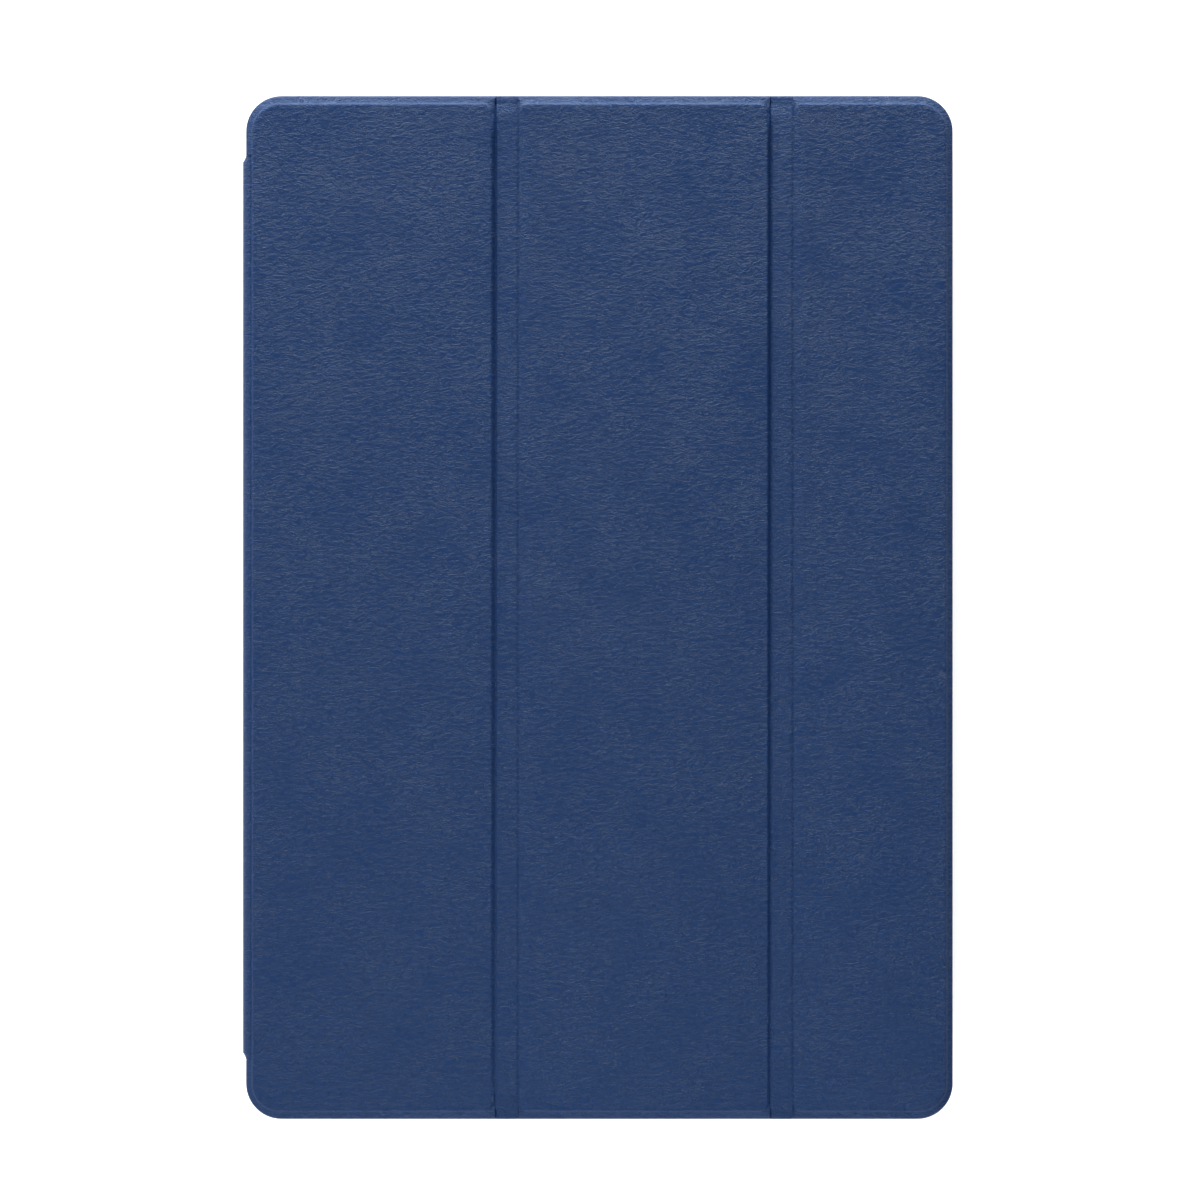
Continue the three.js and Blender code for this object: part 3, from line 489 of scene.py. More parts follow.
def panel_sheet(index):
    """The leather over one board: rings from the raised face out to the edge or to the fold strip."""
    raised = RAISED[index]
    west_outer, east_outer = index == 0, index == 2
    west_limit = COVER[0] if west_outer else FOLDS[index - 1][1]
    east_limit = COVER[1] if east_outer else FOLDS[index][0]
    west = outer_profile(SIDE) if west_outer else step_up(raised[0] - west_limit)
    east = steep_profile(SIDE) if east_outer else step_down(east_limit - raised[1], GROOVE_WIDTH[index])
    ends = outer_profile(END)
    side_steps = [117.0, 115.0, 114.98] if west_outer else []
    rows = END_STEPS + [SAG_START, 120.0] + side_steps + [60.0]
    rings = []
    for k in range(len(ends)):
        dn, zn = ends[k]
        sides = {"w": (west[k], west_outer), "e": (east[k], east_outer)}
        y1 = HALF - END + dn
        ring = []

        def turn(side, top):
            (d, z), is_outer = sides[side]
            if side == "e" and not is_outer:
                z = eased(z, HALF if top else -HALF)
            x = raised[0] - d if side == "w" else raised[1] + d
            if is_outer:
                r = RAISED_CORNER + min(d, dn) if k < 8 else CORNER - (END - dn)
            else:
                r = INNER_CORNER + min(d, dn) if k < 8 else 0.0
            r = max(r, 0.004)
            cx = x + r if side == "w" else x - r
            cy = y1 - r if top else -y1 + r
            quarter = {("w", False): 1.0, ("e", False): 1.5, ("e", True): 0.0, ("w", True): 0.5}[(side, top)]
            start = quarter * math.pi
            spots = corner(cx, cy, r, start, 16)
            for j, (px, py) in enumerate(spots):
                t = j / 16
                towards_end = t if (side, top) in (("w", False), ("e", True)) else 1 - t
                height = z + (zn - z) * towards_end
                if not is_outer and k >= 10:
                    height = zn
                ring.append((px, py, height))

        def run(side, upwards):
            (d, z), is_outer = sides[side]
            x = raised[0] - d if side == "w" else raised[1] + d
            r_end = abs(ring[-1][1])
            spots = [-v for v in rows] + [v for v in reversed(rows)]
            spots = spots if upwards else list(reversed(spots))
            for y in spots:
                y = max(-r_end, min(r_end, y))
                px, height = x, eased(z, y) if side == "e" and not is_outer else z
                if not is_outer and k >= 9:
                    height = end_height(y, height)
                if side == "w" and is_outer and abs(y) < 114.99 and px < NOTCH[0]:
                    px = NOTCH[0]
                    height = min(z, CREASE_TOP)
                ring.append((px, y, height))

        turn("w", False)
        turn("e", False)
        run("e", True)
        turn("e", True)
        turn("w", True)
        run("w", False)
        rings.append(ring)
    n = len(rings[0])
    points = [p for ring in rings for p in ring]
    faces = [(k * n + i, (k + 1) * n + i, (k + 1) * n + (i + 1) % n, k * n + (i + 1) % n)
             for k in range(len(rings) - 1) for i in range(n)]
    faces.append(tuple(range(n)))
    o = mesh_object(f"cover_leather_{index + 1}", points, faces, LEATHER, [(p[0], p[1]) for p in points], 60.0)
    clean(o)
    return wear(o, f"panel_{index + 1}", "navy_leather", f"panel_{index + 1}_leather")


def clean(o):
    bm = bmesh.new()
    bm.from_mesh(o.data)
    bmesh.ops.dissolve_degenerate(bm, dist=1e-7, edges=bm.edges)
    bmesh.ops.remove_doubles(bm, verts=bm.verts, dist=2e-6)
    bmesh.ops.recalc_face_normals(bm, faces=bm.faces)
    bm.to_mesh(o.data)
    bm.free()


def strip(name, columns, rows, point, material, sheet):
    """A sheet as a grid: point(i, j) gives place, sheet(i, j) its place on the flat sheet."""
    points = [point(a, b) for b in rows for a in columns]
    uv = [sheet(a, b) for b in rows for a in columns]
    n = len(columns)
    faces = [(r * n + c, r * n + c + 1, (r + 1) * n + c + 1, (r + 1) * n + c)
             for r in range(len(rows) - 1) for c in range(n - 1)]
    return mesh_object(name, points, faces, material, uv, 60.0)


def spread(low, high, count):
    return [low + (high - low) * i / (count - 1) for i in range(count)]


def fold_rows():
    fine = [HALF] + END_STEPS + [SAG_START]
    return [-v for v in fine] + spread(-HALF + 6, HALF - 6, 30) + list(reversed(fine))


def fold_level(index, x, y):
    """The slack strip rises from the groove on its left to the next board on its right."""
    low = eased(LOW_SIDE, y)
    x0, x1 = FOLDS[index]
    t = (x - x0) / (x1 - x0)
    return low + (HIGH_SIDE - low) * t * t * (3 - 2 * t)


def bend_fold(o):
    """The strip's placement is baked into its mesh; it is attached to no body."""
    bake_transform(o)


def fold_sheet(index):
    """The soft strip between two boards: leather above, its roll over the short ends."""
    x0, x1 = FOLDS[index]
    columns = spread(x0, x1, 25)
    rows = [("under", -1), ("low", -1)] + [("top", y) for y in fold_rows()] + [("low", 1), ("under", 1)]

    def point(x, row):
        kind, y = row
        if kind == "top":
            return (x, y, end_height(y, fold_level(index, x, y)) if abs(y) < HALF else 15.60)
        if kind == "low":
            return (x, y * (HALF - 0.05), 15.42)
        return (x, y * (HALF - 1.3), 15.36)

    def flat(x, row):
        kind, y = row
        return (x, y if kind == "top" else y * (HALF + (0.3 if kind == "low" else 1.2)))

    o = strip(f"fold_leather_{index + 1}", columns, rows, point, LEATHER, flat)
    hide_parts(f"fold_{index + 1}_leather")
    bend_fold(o)
    return o


# ---- Linings -------------------------------------------------------------------------------------
LINING_Z = (14.8, 15.3)


def lining_sheet(index):
    """Lining glued inside one panel, with a softly rounded cut edge."""
    x0 = COVER[0] + 0.6 if index == 0 else FOLDS[index - 1][1]
    x1 = COVER[1] - 0.6 if index == 2 else FOLDS[index][0]
    y1 = HALF - 0.6
    r = (8.6 if index == 0 else 0.02, 8.6 if index == 2 else 0.02)
    radii = (r[0], r[1], r[1], r[0])

    def at(by):
        west = by if index == 0 else 0
        east = by if index == 2 else 0
        shrunk = tuple(max(v - by, 0.02) for v in radii)
        return rounded((x0 + west, x1 - east), (-y1 + by, y1 - by), shrunk)

    low, high = LINING_Z
    points, faces = stack([(at(0.35), low), (at(0.12), low + 0.04), (at(0), low + 0.18), (at(0), high)])
    o = mesh_object(f"lining_{index + 1}", points, faces, LINING, None, 60.0)
    if index == 0:
        carve(o, [prism((-95, NOTCH[0]), (-115, 115), 0.3, (10, 20))])
    return wear(o, f"panel_{index + 1}", "microfibre_lining", f"panel_{index + 1}_lining")


def fold_lining(index):
    x0, x1 = FOLDS[index]
    y1 = HALF - 0.6
    columns = spread(x0, x1, 25)
    ends = [y1, y1 - 0.12, y1 - 0.35]
    along = [-y for y in ends] + spread(-y1 + 5, y1 - 5, 24) + list(reversed(ends))
    rows = [("up", -1)] + [("flat", y) for y in along] + [("up", 1)]

    def point(x, row):
        kind, y = row
        rib = 0.06 * math.sin(math.pi * (x - x0) / (x1 - x0)) ** 2
        if kind == "up":
            return (x, y * y1, LINING_Z[1])
        edge = y1 - abs(y)
        height = LINING_Z[0] + (0.18 if edge < 0.06 else 0.04 if edge < 0.2 else rib)
        return (x, y, height)

    o = strip(f"fold_lining_{index + 1}", columns, rows, point, LINING, lambda x, row: (x, row[1]))
    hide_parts(f"fold_{index + 1}_lining")
    bend_fold(o)
    return o


# ---- Spine ---------------------------------------------------------------------------------------
SPINE_OUT = -90.25
BEND = 2.3
UPPER = (-87.95, 14.0)
LOWER = (-87.95, 2.35)
SPINE_HALF = 114.97   # half length of the spine's leather
FLAP_HALF = 114.5
SLANT = 1.7           # length of the slanted ends, where the spine narrows to the cover's own edge
FLAP_END = -60.0


def bend_points(centre, start, end, count):
    return [(centre[0] + BEND * math.cos(a), centre[1] + BEND * math.sin(a))
            for a in spread(math.radians(start), math.radians(end), count)]


def spine_rows():
    h = SPINE_HALF
    ends = [h - SLANT * k / 6 for k in range(7)]
    return [-v for v in ends] + spread(-h + 4, h - 4, 30) + list(reversed(ends))


def spine_strip(name, path, bodies, inner, node, slant, thickness=0.55):
    """Leather that follows a path in X and Z, as a shell.

    At both ends it draws in by slant(t) of the full amount, where t goes from 0 to 1 along the path.
    """
    lengths = [0.0]
    for a, b in zip(path, path[1:]):
        lengths.append(lengths[-1] + math.dist(a, b))
    rows = spine_rows()

    def normal(i):
        a, b = path[max(i - 1, 0)], path[min(i + 1, len(path) - 1)]
        dx, dz = b[0] - a[0], b[1] - a[1]
        size = math.hypot(dx, dz)
        return (dz / size * inner, -dx / size * inner)

    def tuck(i, y):
        t = min(1.0, (SPINE_HALF - abs(y)) / SLANT)
        return (COVER[0] - SPINE_OUT) * (1 - t ** 1.6) * slant(i / (len(path) - 1))

    def layer(depth):
        def spot(i, y):
            nx, nz = normal(i)
            by = tuck(i, y) + depth
            return (path[i][0] + nx * by, y, path[i][1] + nz * by)
        return [[spot(i, y) for i in range(len(path))] for y in rows]

    outside, under = layer(0.0), layer(thickness)
    n, m = len(path), len(rows)
    points = [p for row in outside for p in row] + [p for row in under for p in row]
    uv = [(lengths[i] + node[1], y) for y in rows for i in range(n)] * 2
    size = n * m
    faces = []
    for r in range(m - 1):
        for c in range(n - 1):
            a, b, d, e = r * n + c, r * n + c + 1, (r + 1) * n + c + 1, (r + 1) * n + c
            faces.append((a, b, d, e))
            faces.append((size + e, size + d, size + b, size + a))
    for c in range(n - 1):
        faces.append((c + 1, c, size + c, size + c + 1))
        top = (m - 1) * n + c
        faces.append((top, top + 1, size + top + 1, size + top))
    o = mesh_object(name, points, faces, LEATHER, uv, 60.0)
    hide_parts(node[0])
    if len(bodies) == 1:
        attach(o, bodies[0])
    else:
        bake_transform(o)
    return o


def make_spine():
    lower = bend_points(LOWER, 270, 180, 13)
    upper = bend_points(UPPER, 180, 90, 13)
    face = [(SPINE_OUT, z) for z in spread(LOWER[1], UPPER[1], 12)]
    spine_strip("spine_leather_face", face, ["spine"], 1, ("spine_leather", -104.0), lambda t: 1.0)
    spine_strip("lower_crease_leather", lower, ["case_back", "spine"], 1,
                ("lower_crease_strip", -110.0), lambda t: t)
    spine_strip("upper_crease_leather", upper, ["spine", "panel_1"], 1,
                ("upper_crease_strip", -91.6), lambda t: 1 - t)


def make_flap():
    """The leather flap glued to the back of the tray, with its edge pared thin."""
    def at(by):
        return rounded((-87.95, FLAP_END - by), (-FLAP_HALF + by, FLAP_HALF - by), (0.02, 6 - by, 6 - by, 0.02))
    points, faces = stack([(at(0.5), 0.05), (at(0.15), 0.12), (at(0), 0.30), (at(0), 0.55)])
    o = mesh_object("flap_leather", points, faces, LEATHER, [(-198.0 - p[0], p[1]) for p in points], 60.0)
    return wear(o, "case_back", "navy_leather", "spine_flap")


# ---- Tray ----------------------------------------------------------------------------------------
TRAY_X = (-87.85, 89.15)
TRAY_Y = 126.75
SLOT_Z = (2.6, 6.8)


def tray_ring(by):
    return rounded((TRAY_X[0] + by, TRAY_X[1] - by), (-TRAY_Y + by, TRAY_Y - by), 11 - by, 20)


def make_frame():
    outside = [(1.25, 0.0), (0.9, 0.0), (0.62, 0.07), (0.3, 0.30), (0.09, 0.68), (0, 1.15), (0, 7.9)]
    lip = [(0.06, 8.25), (0.22, 8.48), (0.48, 8.59), (0.8, 8.6), (2.35, 8.6), (2.66, 8.52), (2.8, 8.3)]
    inside = [(2.75, 8.05), (2.5, 7.85), (1.7, 7.8), (1.4, 7.7), (1.3, 7.4), (1.3, 0.0)]
    rings = [(tray_ring(by), z) for by, z in outside + lip + inside]
    points, faces = stack(rings, False)
    n = len(rings[0][0])
    last = (len(rings) - 1) * n
    faces += [(i, last + i, last + (i + 1) % n, (i + 1) % n) for i in range(n)]
    o = mesh_object("frame_soft", points, faces, SOFT)
    clean(o)
    reach = 3.8

    def window(run, z, way, r=1.6):
        """A slot with rounded ends and a flared mouth. way gives outside, face, past the flare and inside."""
        flare, half = 0.35, (z[1] - z[0]) / 2
        spots = rounded(run, z, min(r, half - 0.02), 8)
        wide = rounded((run[0] - flare, run[1] + flare), (z[0] - flare, z[1] + flare), min(r + flare, half + 0.3), 8)
        axis, outer, face, inner = way
        step = flare if outer < face else -flare
        order = [(wide, outer), (wide, face), (spots, face + step), (spots, inner)]
        points = [(q, p, pz) if axis == "x" else (p, q, pz) for outline, q in order for p, pz in outline]
        n = len(spots)
        return points, bands(n, 3) + [tuple(reversed(range(n))), tuple(range(3 * n, 4 * n))]

    low = ("y", -TRAY_Y - 1, -TRAY_Y, -TRAY_Y + reach)
    high = ("y", TRAY_Y + 1, TRAY_Y, TRAY_Y - reach)
    right = ("x", TRAY_X[1] + 1, TRAY_X[1], TRAY_X[1] - reach)
    charging, power, headphone, volume = (-6.35, 7.65), (53, 71), (-70, -62), (69, 103)
    tools = [window(charging, SLOT_Z, low), window(power, SLOT_Z, high), window(headphone, SLOT_Z, high, 2.0),
             window(volume, SLOT_Z, right)]
    for middle in (-34.0, 35.3):
        for end in (low, high):
            for k in (-2, -1, 0, 1, 2):
                at = middle + 4.4 * k
                tools.append(window((at - 1.5, at + 1.5), (3.4, 5.6), end, 1.05))
    tools.append(prism((TRAY_X[0] - 2, TRAY_X[0] + 2), (-115, 115), 0.4, (-1, 0.7)))
    carve(o, [fix_winding(t) for t in tools])
    return wear(o, "case_back", "soft_frame", "bumper_frame")


def fix_winding(part):
    """The same closed body with its faces turned outwards."""
    bm = bmesh.new()
    points, faces = part
    verts = [bm.verts.new(p) for p in points]
    for f in faces:
        bm.faces.new([verts[i] for i in f])
    bmesh.ops.recalc_face_normals(bm, faces=bm.faces)
    bm.verts.index_update()
    out = ([tuple(v.co) for v in bm.verts], [tuple(v.index for v in f.verts) for f in bm.faces])
    bm.free()
    return out


def make_back():
    rings = [(tray_ring(1.42), 0.0), (tray_ring(1.35), 0.06), (tray_ring(1.35), 1.42), (tray_ring(1.42), 1.5)]
    points, faces = stack(rings)
    o = mesh_object("tray_back", points, faces, TRAY)
    mouth = rounded((66.4, 81.6), (93.4, 122.6), 7.59, 20)
    hole = rounded((67, 81), (94, 122), 6.99, 20)
    camera_window = stack([(mouth, -1.0), (mouth, 0.0), (rounded((66.8, 81.2), (93.8, 122.2), 7.2, 20), 0.18),
                           (hole, 0.55), (hole, 3.0)])
    flap_bed = rounded((TRAY_X[0] - 1, FLAP_END + 0.5), (-115, 115), (0.02, 6.5, 6.5, 0.02))
    carve(o, [camera_window, stack([(flap_bed, z) for z in (-1.0, 0.7)])])
    return wear(o, "case_back", "tray_plastic", "back_plate")


# ---- Keyboard ------------------------------------------------------------------------------------
# Its own axes: u to the right, v to the far edge, w up out of the keys. It lies face down under the cover.
KB_U, KB_V, KB_R = 121.0, 82.5, 8.0
DECK_TOP = 4.1
DECK_WALL = 1.2
CAP_TOP = 5.15
INK_TOP = CAP_TOP + 0.006
PITCH, ROW, FUNCTION_ROW = 16.03, 16.8, 12.0
GAP, HALF_GAP = 2.2, 1.6
FIRST = (-116.2, 74.5)


def turned(points):
    return [(1.5 - v, -u, 14.05 - w) for u, v, w in points]


def kb_object(name, part, material):
    points, faces = part
    return mesh_object(name, turned(points), faces, material)


def whole(parts):
    """Closed bodies as one mesh, each with its faces turned outwards."""
    return joined([fix_winding(p) for p in parts])


def kb_carve(o, parts):
    carve(o, [(turned(p), f) for p, f in map(fix_winding, parts)])


def kb_wear(o, body, slot, *nodes):
    clean(o)
    soften(o)
    return wear(o, body, slot, *nodes)


def fn(count):
    return [14.5 / 14] * count


LEGENDS = {
    "key_escape": (fn(1), 0, ["esc"]),
    "keys_function_row": (fn(13), 0, [f"F{k}" for k in range(1, 13)] + ["del"]),
    "keys_number_row": ([1] * 13, 1, ["~`", "!1", "@2", "#3", "$4", "%5", "^6", "&7", "*8", "(9", ")0", "_-", "+="]),
    "key_backspace": ([1.5], 1, ["backspace"]),
    "key_tab": ([1.5], 2, ["tab"]),
    "keys_upper_letters": ([1] * 13, 2, list("QWERTYUIOP") + ["{[", "}]", "|\\"]),
    "key_caps_lock": ([1.75], 3, ["caps lock"]),
    "keys_home_letters": ([1] * 11, 3, list("ASDFGHJKL") + [":;", "\"'"]),
    "key_enter": ([1.75], 3, ["enter"]),
    "key_left_shift": ([2.25], 4, ["shift"]),
    "keys_lower_letters": ([1] * 10, 4, list("ZXCVBNM") + ["<,", ">.", "?/"]),
    "key_right_shift": ([2.25], 4, ["shift"]),
    "keys_left_modifiers": ([1, 1, 1, 1.25], 5, ["fn", "ctrl", "alt", "cmd"]),
    "key_space": ([5], 5, [""]),
    "keys_right_modifiers": ([1.25, 1], 5, ["cmd", "alt"]),
    "key_left_arrow": ([1], 5, ["left"]),
    "key_up_arrow": ([1], 5, ["up"]),
    "key_down_arrow": ([1], 5, ["down"]),
    "key_right_arrow": ([1], 5, ["right"]),
}
ARROWS = {"left": 180, "up": 90, "down": 270, "right": 0}


def key_places():
    """Every block's caps: (u range, v range, legend)."""
    places, row, left = {}, None, 0.0
    for name, (widths, r, words) in LEGENDS.items():
        if r != row:
            row, left = r, FIRST[0]
        if name == "key_down_arrow":
            left -= PITCH
        pitch = FUNCTION_ROW if r == 0 else ROW
        far = FIRST[1] - (FUNCTION_ROW + (r - 1) * ROW if r else 0.0)
        caps = []
        for width, word in zip(widths, words):
            u = (left + GAP / 2, left + width * PITCH - GAP / 2)
            v = [far - pitch + GAP / 2, far - GAP / 2]
            middle = (v[0] + v[1]) / 2
            if name == "key_up_arrow":
                v[0] = middle + HALF_GAP / 2
            if name == "key_down_arrow":
                v[1] = middle - HALF_GAP / 2
            caps.append((u, tuple(v), word))
            left += width * PITCH
        places[name] = caps
    return places


PLACES = key_places()


def cap_part(u, v):
    """One cap: straight sides, a rounded shoulder and a face dished by a few hundredths."""
    def at(by, r):
        return rounded((u[0] + by, u[1] - by), (v[0] + by, v[1] - by), r, 6)
    dish = min(v[1] - v[0], u[1] - u[0]) / 2 - 0.4
    rings = [(at(0.0, 1.3), 2.62), (at(0.0, 1.3), 4.55), (at(0.05, 1.3), 4.76), (at(0.17, 1.2), 4.94),
             (at(0.34, 1.1), 5.06), (at(0.55, 1.0), 5.13), (at(0.85, 0.9), CAP_TOP),
             (at(1.6, 0.8), CAP_TOP - 0.01), (at(dish, 0.1), CAP_TOP - 0.03)]
    return stack(rings)


def words_to_place():
    """(block, text, size, u, v) for all legends; u, v is the middle of the word."""
    out = []
    for name, caps in PLACES.items():
        for u, v, word in caps:
            cu, cv = (u[0] + u[1]) / 2, (v[0] + v[1]) / 2
            if not word or word in ARROWS:
                continue
            if name == "keys_function_row" or name == "key_escape":
                out.append((name, word, 2.5, cu, cv))
            elif len(word) == 2 and not word.isalpha():
                out.append((name, word[0], 3.3, cu, cv + 2.7))
                out.append((name, word[1], 3.3, cu, cv - 2.9))
            elif len(word) == 1:
                out.append((name, word, 4.6, cu, cv + 0.2))
            else:
                start = name in ("key_tab", "key_caps_lock", "key_left_shift")
                end = name in ("key_backspace", "key_enter", "key_right_shift")
                half = 0.28 * 2.7 * len(word)
                place = u[0] + 2.6 + half if start else u[1] - 2.6 - half if end else cu
                out.append((name, word, 2.7, place, cv - (2.6 if start or end else 0.0)))
    return out


def legend_meshes():
    """The printed legends, as thin letters lying on the caps, one object for each block."""
    texts = []
    for name, word, size, u, v in words_to_place():
        curve = bpy.data.curves.new("word", "FONT")
        curve.body = word
        curve.size = size * 1.25
        curve.align_x = "CENTER"
        curve.align_y = "CENTER"
        curve.resolution_u = 3
        o = bpy.data.objects.new("word", curve)
        scene.collection.objects.link(o)
        texts.append((name, o, u, v))
    bpy.context.view_layer.update()
    graph = bpy.context.evaluated_depsgraph_get()
    parts = {}
    for name, o, u, v in texts:
        mesh = bpy.data.meshes.new_from_object(o.evaluated_get(graph))
        xs = [p.co.x for p in mesh.vertices]
        ys = [p.co.y for p in mesh.vertices]
        word = o.data.body
        lift = (min(ys) + max(ys)) / 2 if len(word) == 1 and word.isalnum() else 0.0
        shift = (u - (min(xs) + max(xs)) / 2, v - lift)
        points = [(p.co.x + shift[0], p.co.y + shift[1], INK_TOP) for p in mesh.vertices]
        parts.setdefault(name, []).append((points, [tuple(f.vertices) for f in mesh.polygons]))
        bpy.data.meshes.remove(mesh)
    for _, o, _, _ in texts:
        curve = o.data
        bpy.data.objects.remove(o)
        bpy.data.curves.remove(curve)
    for name, angle in (("key_" + k + "_arrow", a) for k, a in ARROWS.items()):
        u, v, _ = PLACES[name][0]
        cu, cv, a = (u[0] + u[1]) / 2, (v[0] + v[1]) / 2, math.radians(angle)
        spots = [(1.1, 0.0), (-0.8, 1.15), (-0.8, -1.15)]
        points = [(cu + x * math.cos(a) - y * math.sin(a), cv + x * math.sin(a) + y * math.cos(a), INK_TOP)
                  for x, y in spots]
        parts.setdefault(name, []).append((points, [(0, 1, 2)]))
    return parts


def make_keys():
    legends = legend_meshes()
    for name, caps in PLACES.items():
        half = name in ("key_up_arrow", "key_down_arrow")
        reach = HALF_GAP / 4 if half else 0.7
        row = caps[0][1]
        across = (caps[0][0][0] - reach, caps[-1][0][1] + reach)
        web = prism(across, (row[0] - reach, row[1] + reach), 0.9, (2.5, 2.85), 4)
        parts = [web] + [cap_part(u, v) for u, v, _ in caps]
        if name == "keys_home_letters":
            for k in (3, 6):
                u, v, _ = caps[k]
                cu = (u[0] + u[1]) / 2

                def bar(by):
                    return rounded((cu - 1.6 + by, cu + 1.6 - by), (v[0] + 2.5 + by, v[0] + 3.1 - by), 0.28 - by, 4)
                parts.append(stack([(bar(0.0), 5.0), (bar(0.0), 5.26), (bar(0.1), 5.32)]))
        o = kb_object(name + "_caps", whole(parts), CAP)
        ink = legends.get(name)
        if ink:
            o.data.materials.append(LEGEND)
            points, faces = joined(ink)
            bm = bmesh.new()
            bm.from_mesh(o.data)
            verts = [bm.verts.new([c * MM for c in p]) for p in turned(points)]
            for f in faces:
                try:
                    face = bm.faces.new([verts[i] for i in f])
                    face.material_index = 1
                    face.normal_update()
                    if face.normal.z > 0:
                        face.normal_flip()
                except ValueError:
                    continue
            bm.to_mesh(o.data)
            bm.free()
            soften(o)
        wear(o, name + "_body", "keycap_plastic", name)


def kb_ring(by):
    return rounded((-KB_U + by, KB_U - by), (-KB_V + by, KB_V - by), KB_R - by, 16)


def slot_through(u, w, v, r):
    """A slot with rounded ends through the far wall: u and w ranges, depth range v."""
    return stack_along_v(rounded(u, w, r, 6), v)


def stack_along_v(spots, v):
    n = len(spots)
    points = [(pu, pv, pw) for pv in v for pu, pw in spots]
    return fix_winding((points, bands(n, 1) + [tuple(reversed(range(n))), tuple(range(n, 2 * n))]))


def make_deck():
    rings = [(0.15, 0.75), (0.0, 0.92), (0.0, 3.50), (0.05, 3.72), (0.18, 3.92), (0.36, 4.04), (0.6, DECK_TOP)]
    o = kb_object("deck_shell", stack([(kb_ring(by), w) for by, w in rings]), DECK)
    wells = []
    for caps in PLACES.values():
        for u, v, _ in caps:
            def at(by):
                grow = 0.3 + by
                return rounded((u[0] - grow, u[1] + grow), (v[0] - grow, v[1] + grow), 1.5 + by, 5)
            wells.append(stack([(at(0), 2.0), (at(0), 3.86), (at(0.08), 4.02), (at(0.2), 4.12), (at(0.2), 6.0)]))
    wells.append(stack([(rounded((101.2, 106.8), (76.3, 79.5), 1.59, 8), z) for z in (2.0, 6.0)]))
    wells.append(stack([(rounded((90.65, 93.35), (77.25, 78.55), 0.4, 4), z) for z in (2.0, 6.0)]))
    hollow = rounded((-KB_U + DECK_WALL, KB_U - DECK_WALL), (-KB_V + DECK_WALL, KB_V - DECK_WALL), KB_R - DECK_WALL, 12)
    kb_carve(o, [stack([(hollow, z) for z in (-1.0, 3.1)])])
    through = (KB_V - 2.2, KB_V + 1)
    wells.append(slot_through((-73.5, -66.5), (1.3, 2.8), through, 0.7))
    wells.append(slot_through((-98.9, -91.1), (0.62, 3.05), through, 1.15))
    kb_carve(o, wells)
    return kb_wear(o, "keyboard", "keyboard_plastic", "keyboard_deck")


def make_base():
    """The thin metal base, with pockets for the steel keepers and eight small screws."""
    rings = [(0.42, 0.0), (0.14, 0.06), (0.0, 0.24), (0.0, 0.70)]
    o = kb_object("base_plate", stack([(kb_ring(by), w) for by, w in rings]), BASE_METAL)
    tools = [stack([(rounded(u, (54.5, 64.5), 0.5, 3), w) for w in (-1.0, 1.0)]) for u in ((-94, -50), (50, 94))]
    places = [(u, v) for u in (-116.0, 0.0, 116.0) for v in (-77.5, 77.5)] + [(-116.0, 0.0), (116.0, 0.0)]
    for u, v in places:
        tools.append(stack([(disc(u, v, 2.1), -1.0), (disc(u, v, 2.1), 0.05), (disc(u, v, 1.9), 0.22)]))
    kb_carve(o, tools)
    kb_wear(o, "keyboard", "keyboard_base_metal", "keyboard_base")
    screws = [stack([(disc(u, v, 1.55), 0.06), (disc(u, v, 1.75), 0.11), (disc(u, v, 1.75), 0.30)]) for u, v in places]
    heads = kb_object("base_screws", whole(screws), STEEL)
    slots = [prism((u - 1.2, u + 1.2), (v - 0.22, v + 0.22), 0.05, (-0.5, 0.16), 2) for u, v in places]
    slots += [prism((u - 0.22, u + 0.22), (v - 1.2, v + 1.2), 0.05, (-0.5, 0.16), 2) for u, v in places]
    for half in (slots[:len(places)], slots[len(places):]):
        kb_carve(heads, half)
    kb_wear(heads, "keyboard", "keyboard_base_metal")


def disc(u, v, r, steps=24):
    turns = [2 * math.pi * k / steps for k in range(steps)]
    return [(u + r * math.cos(a), v + r * math.sin(a)) for a in turns]


def make_feet():
    profile = ((3.9, -0.45), (4.2, -0.42), (4.42, -0.32), (4.5, -0.18), (4.5, -0.05))
    for name, u, v in (("foot_far_left", -106, 73), ("foot_far_right", 106, 73),
                       ("foot_near_left", -106, -73), ("foot_near_right", 106, -73)):
        rings = [(disc(u, v, r, 32), w) for r, w in profile]
        kb_wear(kb_object(name + "_pad", stack(rings), RUBBER), "keyboard", "foot_rubber", name)


def make_switch():
    """The sliding power switch: a ribbed knob through the far wall, on a guide inside it."""
    u, wall = -71.45, KB_V - 1.2
    knob = stack_along_v(rounded((u - 1.75, u + 1.75), (1.5, 2.6), 0.4, 5), (wall - 0.3, KB_V + 0.45))
    lead = stack_along_v(rounded((u - 1.6, u + 1.6), (1.62, 2.48), 0.3, 5), (KB_V + 0.44, KB_V + 0.5))
    ribs = [stack_along_v(rounded((u + k - 0.18, u + k + 0.18), (1.55, 2.55), 0.16, 4), (KB_V + 0.4, KB_V + 0.6))
            for k in (-1.1, -0.37, 0.37, 1.1)]
    guide = stack_along_v(rounded((u - 5.3, u + 5.3), (1.1, 2.9), 0.2, 3), (wall - 1.7, wall - 0.2))
    o = kb_object("switch_knob", joined([knob, lead, guide] + ribs), CAP)
    kb_wear(o, "power_switch_body", "keycap_plastic", "power_switch")


def make_button():
    def at(by):
        return rounded((101.5 + by, 106.5 - by), (76.6 + by, 79.2 - by), 1.29 - by, 10)
    top = stack([(at(0), 2.4), (at(0), 4.38), (at(0.1), 4.52), (at(0.3), 4.59), (at(0.55), 4.60), (at(1.0), 4.55)])
    flange = prism((100.7, 107.3), (75.8, 80.0), 1.6, (2.3, 2.85), 6)
    o = kb_object("pair_button_cap", whole((top, flange)), CAP)
    kb_wear(o, "pair_button_body", "keycap_plastic", "pair_button")


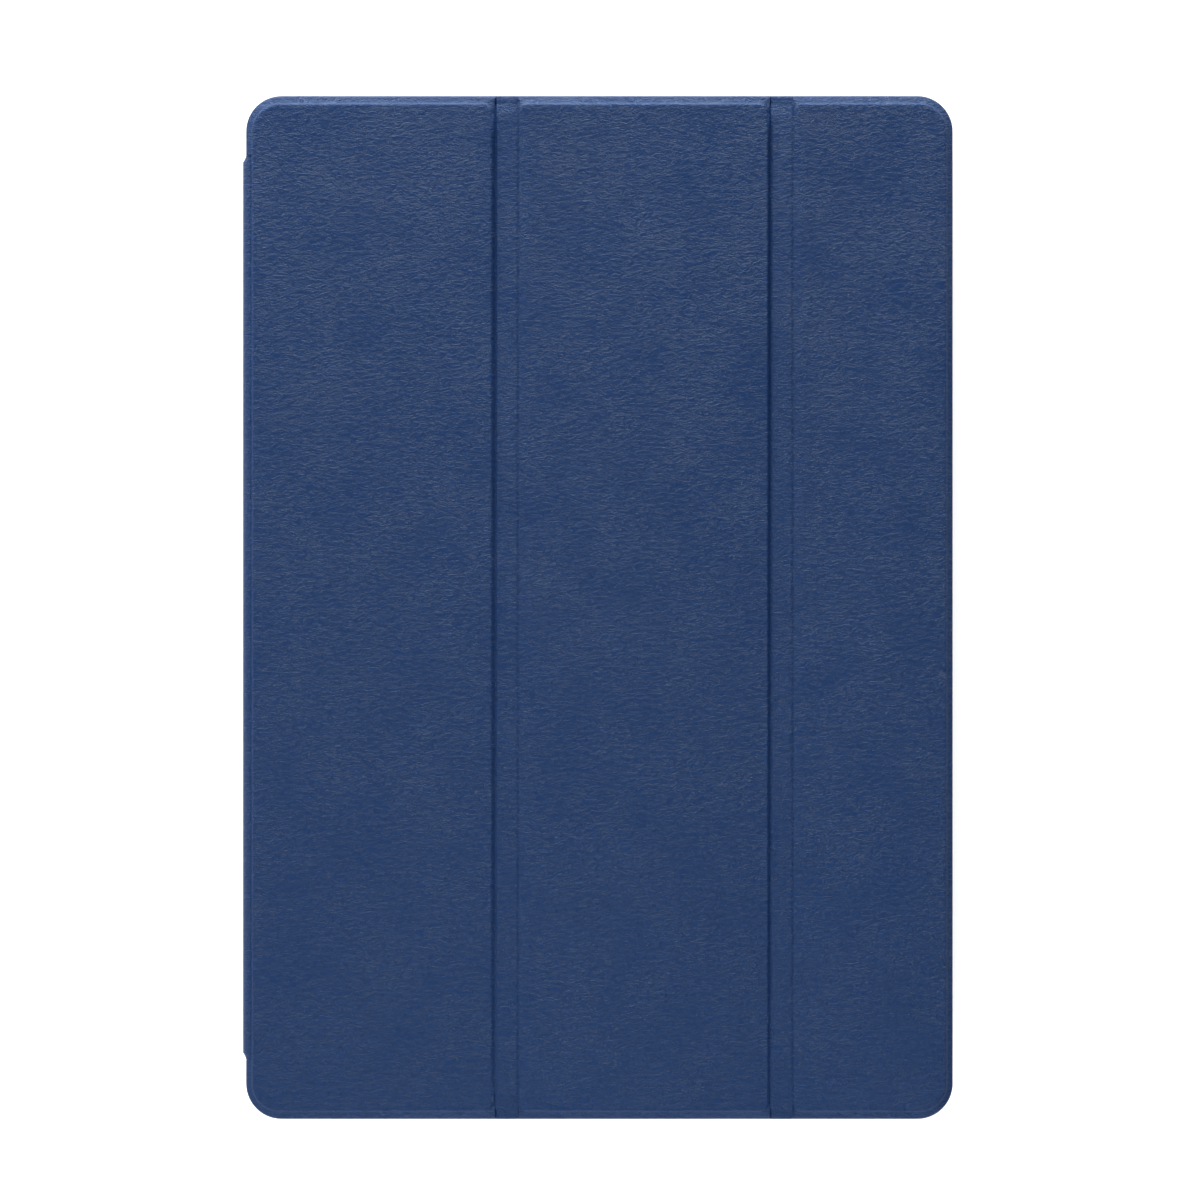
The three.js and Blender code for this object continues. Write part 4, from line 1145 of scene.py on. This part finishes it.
def make_port():
    """The charging socket: a rounded metal shell with a tongue inside."""
    def ring(by):
        return rounded((-98.7 + by, -91.3 - by), (0.8 + by, 3.0 - by), 1.05 - by, 8)
    front, back = KB_V - 0.1, KB_V - 6.6
    loops = [(ring(0.0), back), (ring(0.0), front - 0.08), (ring(0.07), front), (ring(0.26), front),
             (ring(0.3), front - 0.06), (ring(0.3), back + 0.6)]
    n = len(loops[0][0])
    points = [(pu, pv, pw) for spots, pv in loops for pu, pw in spots]
    last = len(loops) - 1
    faces = bands(n, last) + [tuple(range(n)), tuple(range(last * n, (last + 1) * n))]
    tongue = stack_along_v(rounded((-97.3, -92.7), (1.65, 2.15), 0.1, 3), (back + 0.5, front - 1.0))
    o = kb_object("port_shell", joined([fix_winding((points, faces)), tongue]), STEEL)
    kb_wear(o, "keyboard", "port_metal", "charge_port")


for i in range(3):
    panel_sheet(i)
    lining_sheet(i)
for i in range(2):
    fold_sheet(i)
    fold_lining(i)
make_spine()
make_flap()
make_frame()
make_back()
make_keys()
make_deck()
make_base()
make_feet()
make_switch()
make_button()
make_port()

# ---- CAD nodes that stay, with their finishes ----------------------------------------------------
FINISH = {
    "spine_lining": LINING, "spine_board": BOARD,
    "panel_1_board": BOARD, "panel_2_board": BOARD, "panel_3_board": BOARD,
    "keyboard_magnet_upper": MAGNET, "keyboard_magnet_lower": MAGNET, "closing_magnet_upper": MAGNET,
    "closing_magnet_lower": MAGNET, "keeper_left": MAGNET, "keeper_right": MAGNET, "keyboard_deck": DECK,
    "keyboard_base": BASE_METAL, "contact_sheet": FILM, "key_membrane": SILICONE, "control_board": CIRCUIT,
    "battery": POUCH, "charge_port": STEEL, "status_lens": LENS, "foot_far_left": RUBBER, "foot_far_right": RUBBER,
    "foot_near_left": RUBBER, "foot_near_right": RUBBER,
}
for name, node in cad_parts.items():
    material = FINISH.get(name, CAP)
    node.data.materials.clear()
    node.data.materials.append(material)

# ---- Floor ---------------------------------------------------------------------------------------
floor_look = Nodes("floor")
speck = floor_look.noise(floor_look.place("Object", (1, 1, 1)), 0.02, 2.0)
floor_look.link(floor_look.tint(speck, (0.88, 0.88, 0.88), (0.90, 0.90, 0.90)), floor_look.shader.inputs["Base Color"])
floor_look.set(rough=0.8, spec=0.1)
floor_look.shader.inputs["Emission Color"].default_value = (1, 1, 1, 1)
floor_look.shader.inputs["Emission Strength"].default_value = 0.56
FLOOR_HALF = 3000
floor_spots = [(x * FLOOR_HALF, y * FLOOR_HALF, 0) for x, y in ((-1, -1), (1, -1), (1, 1), (-1, 1))]
floor = mesh_object("floor", floor_spots, [(0, 1, 2, 3)], floor_look.material)
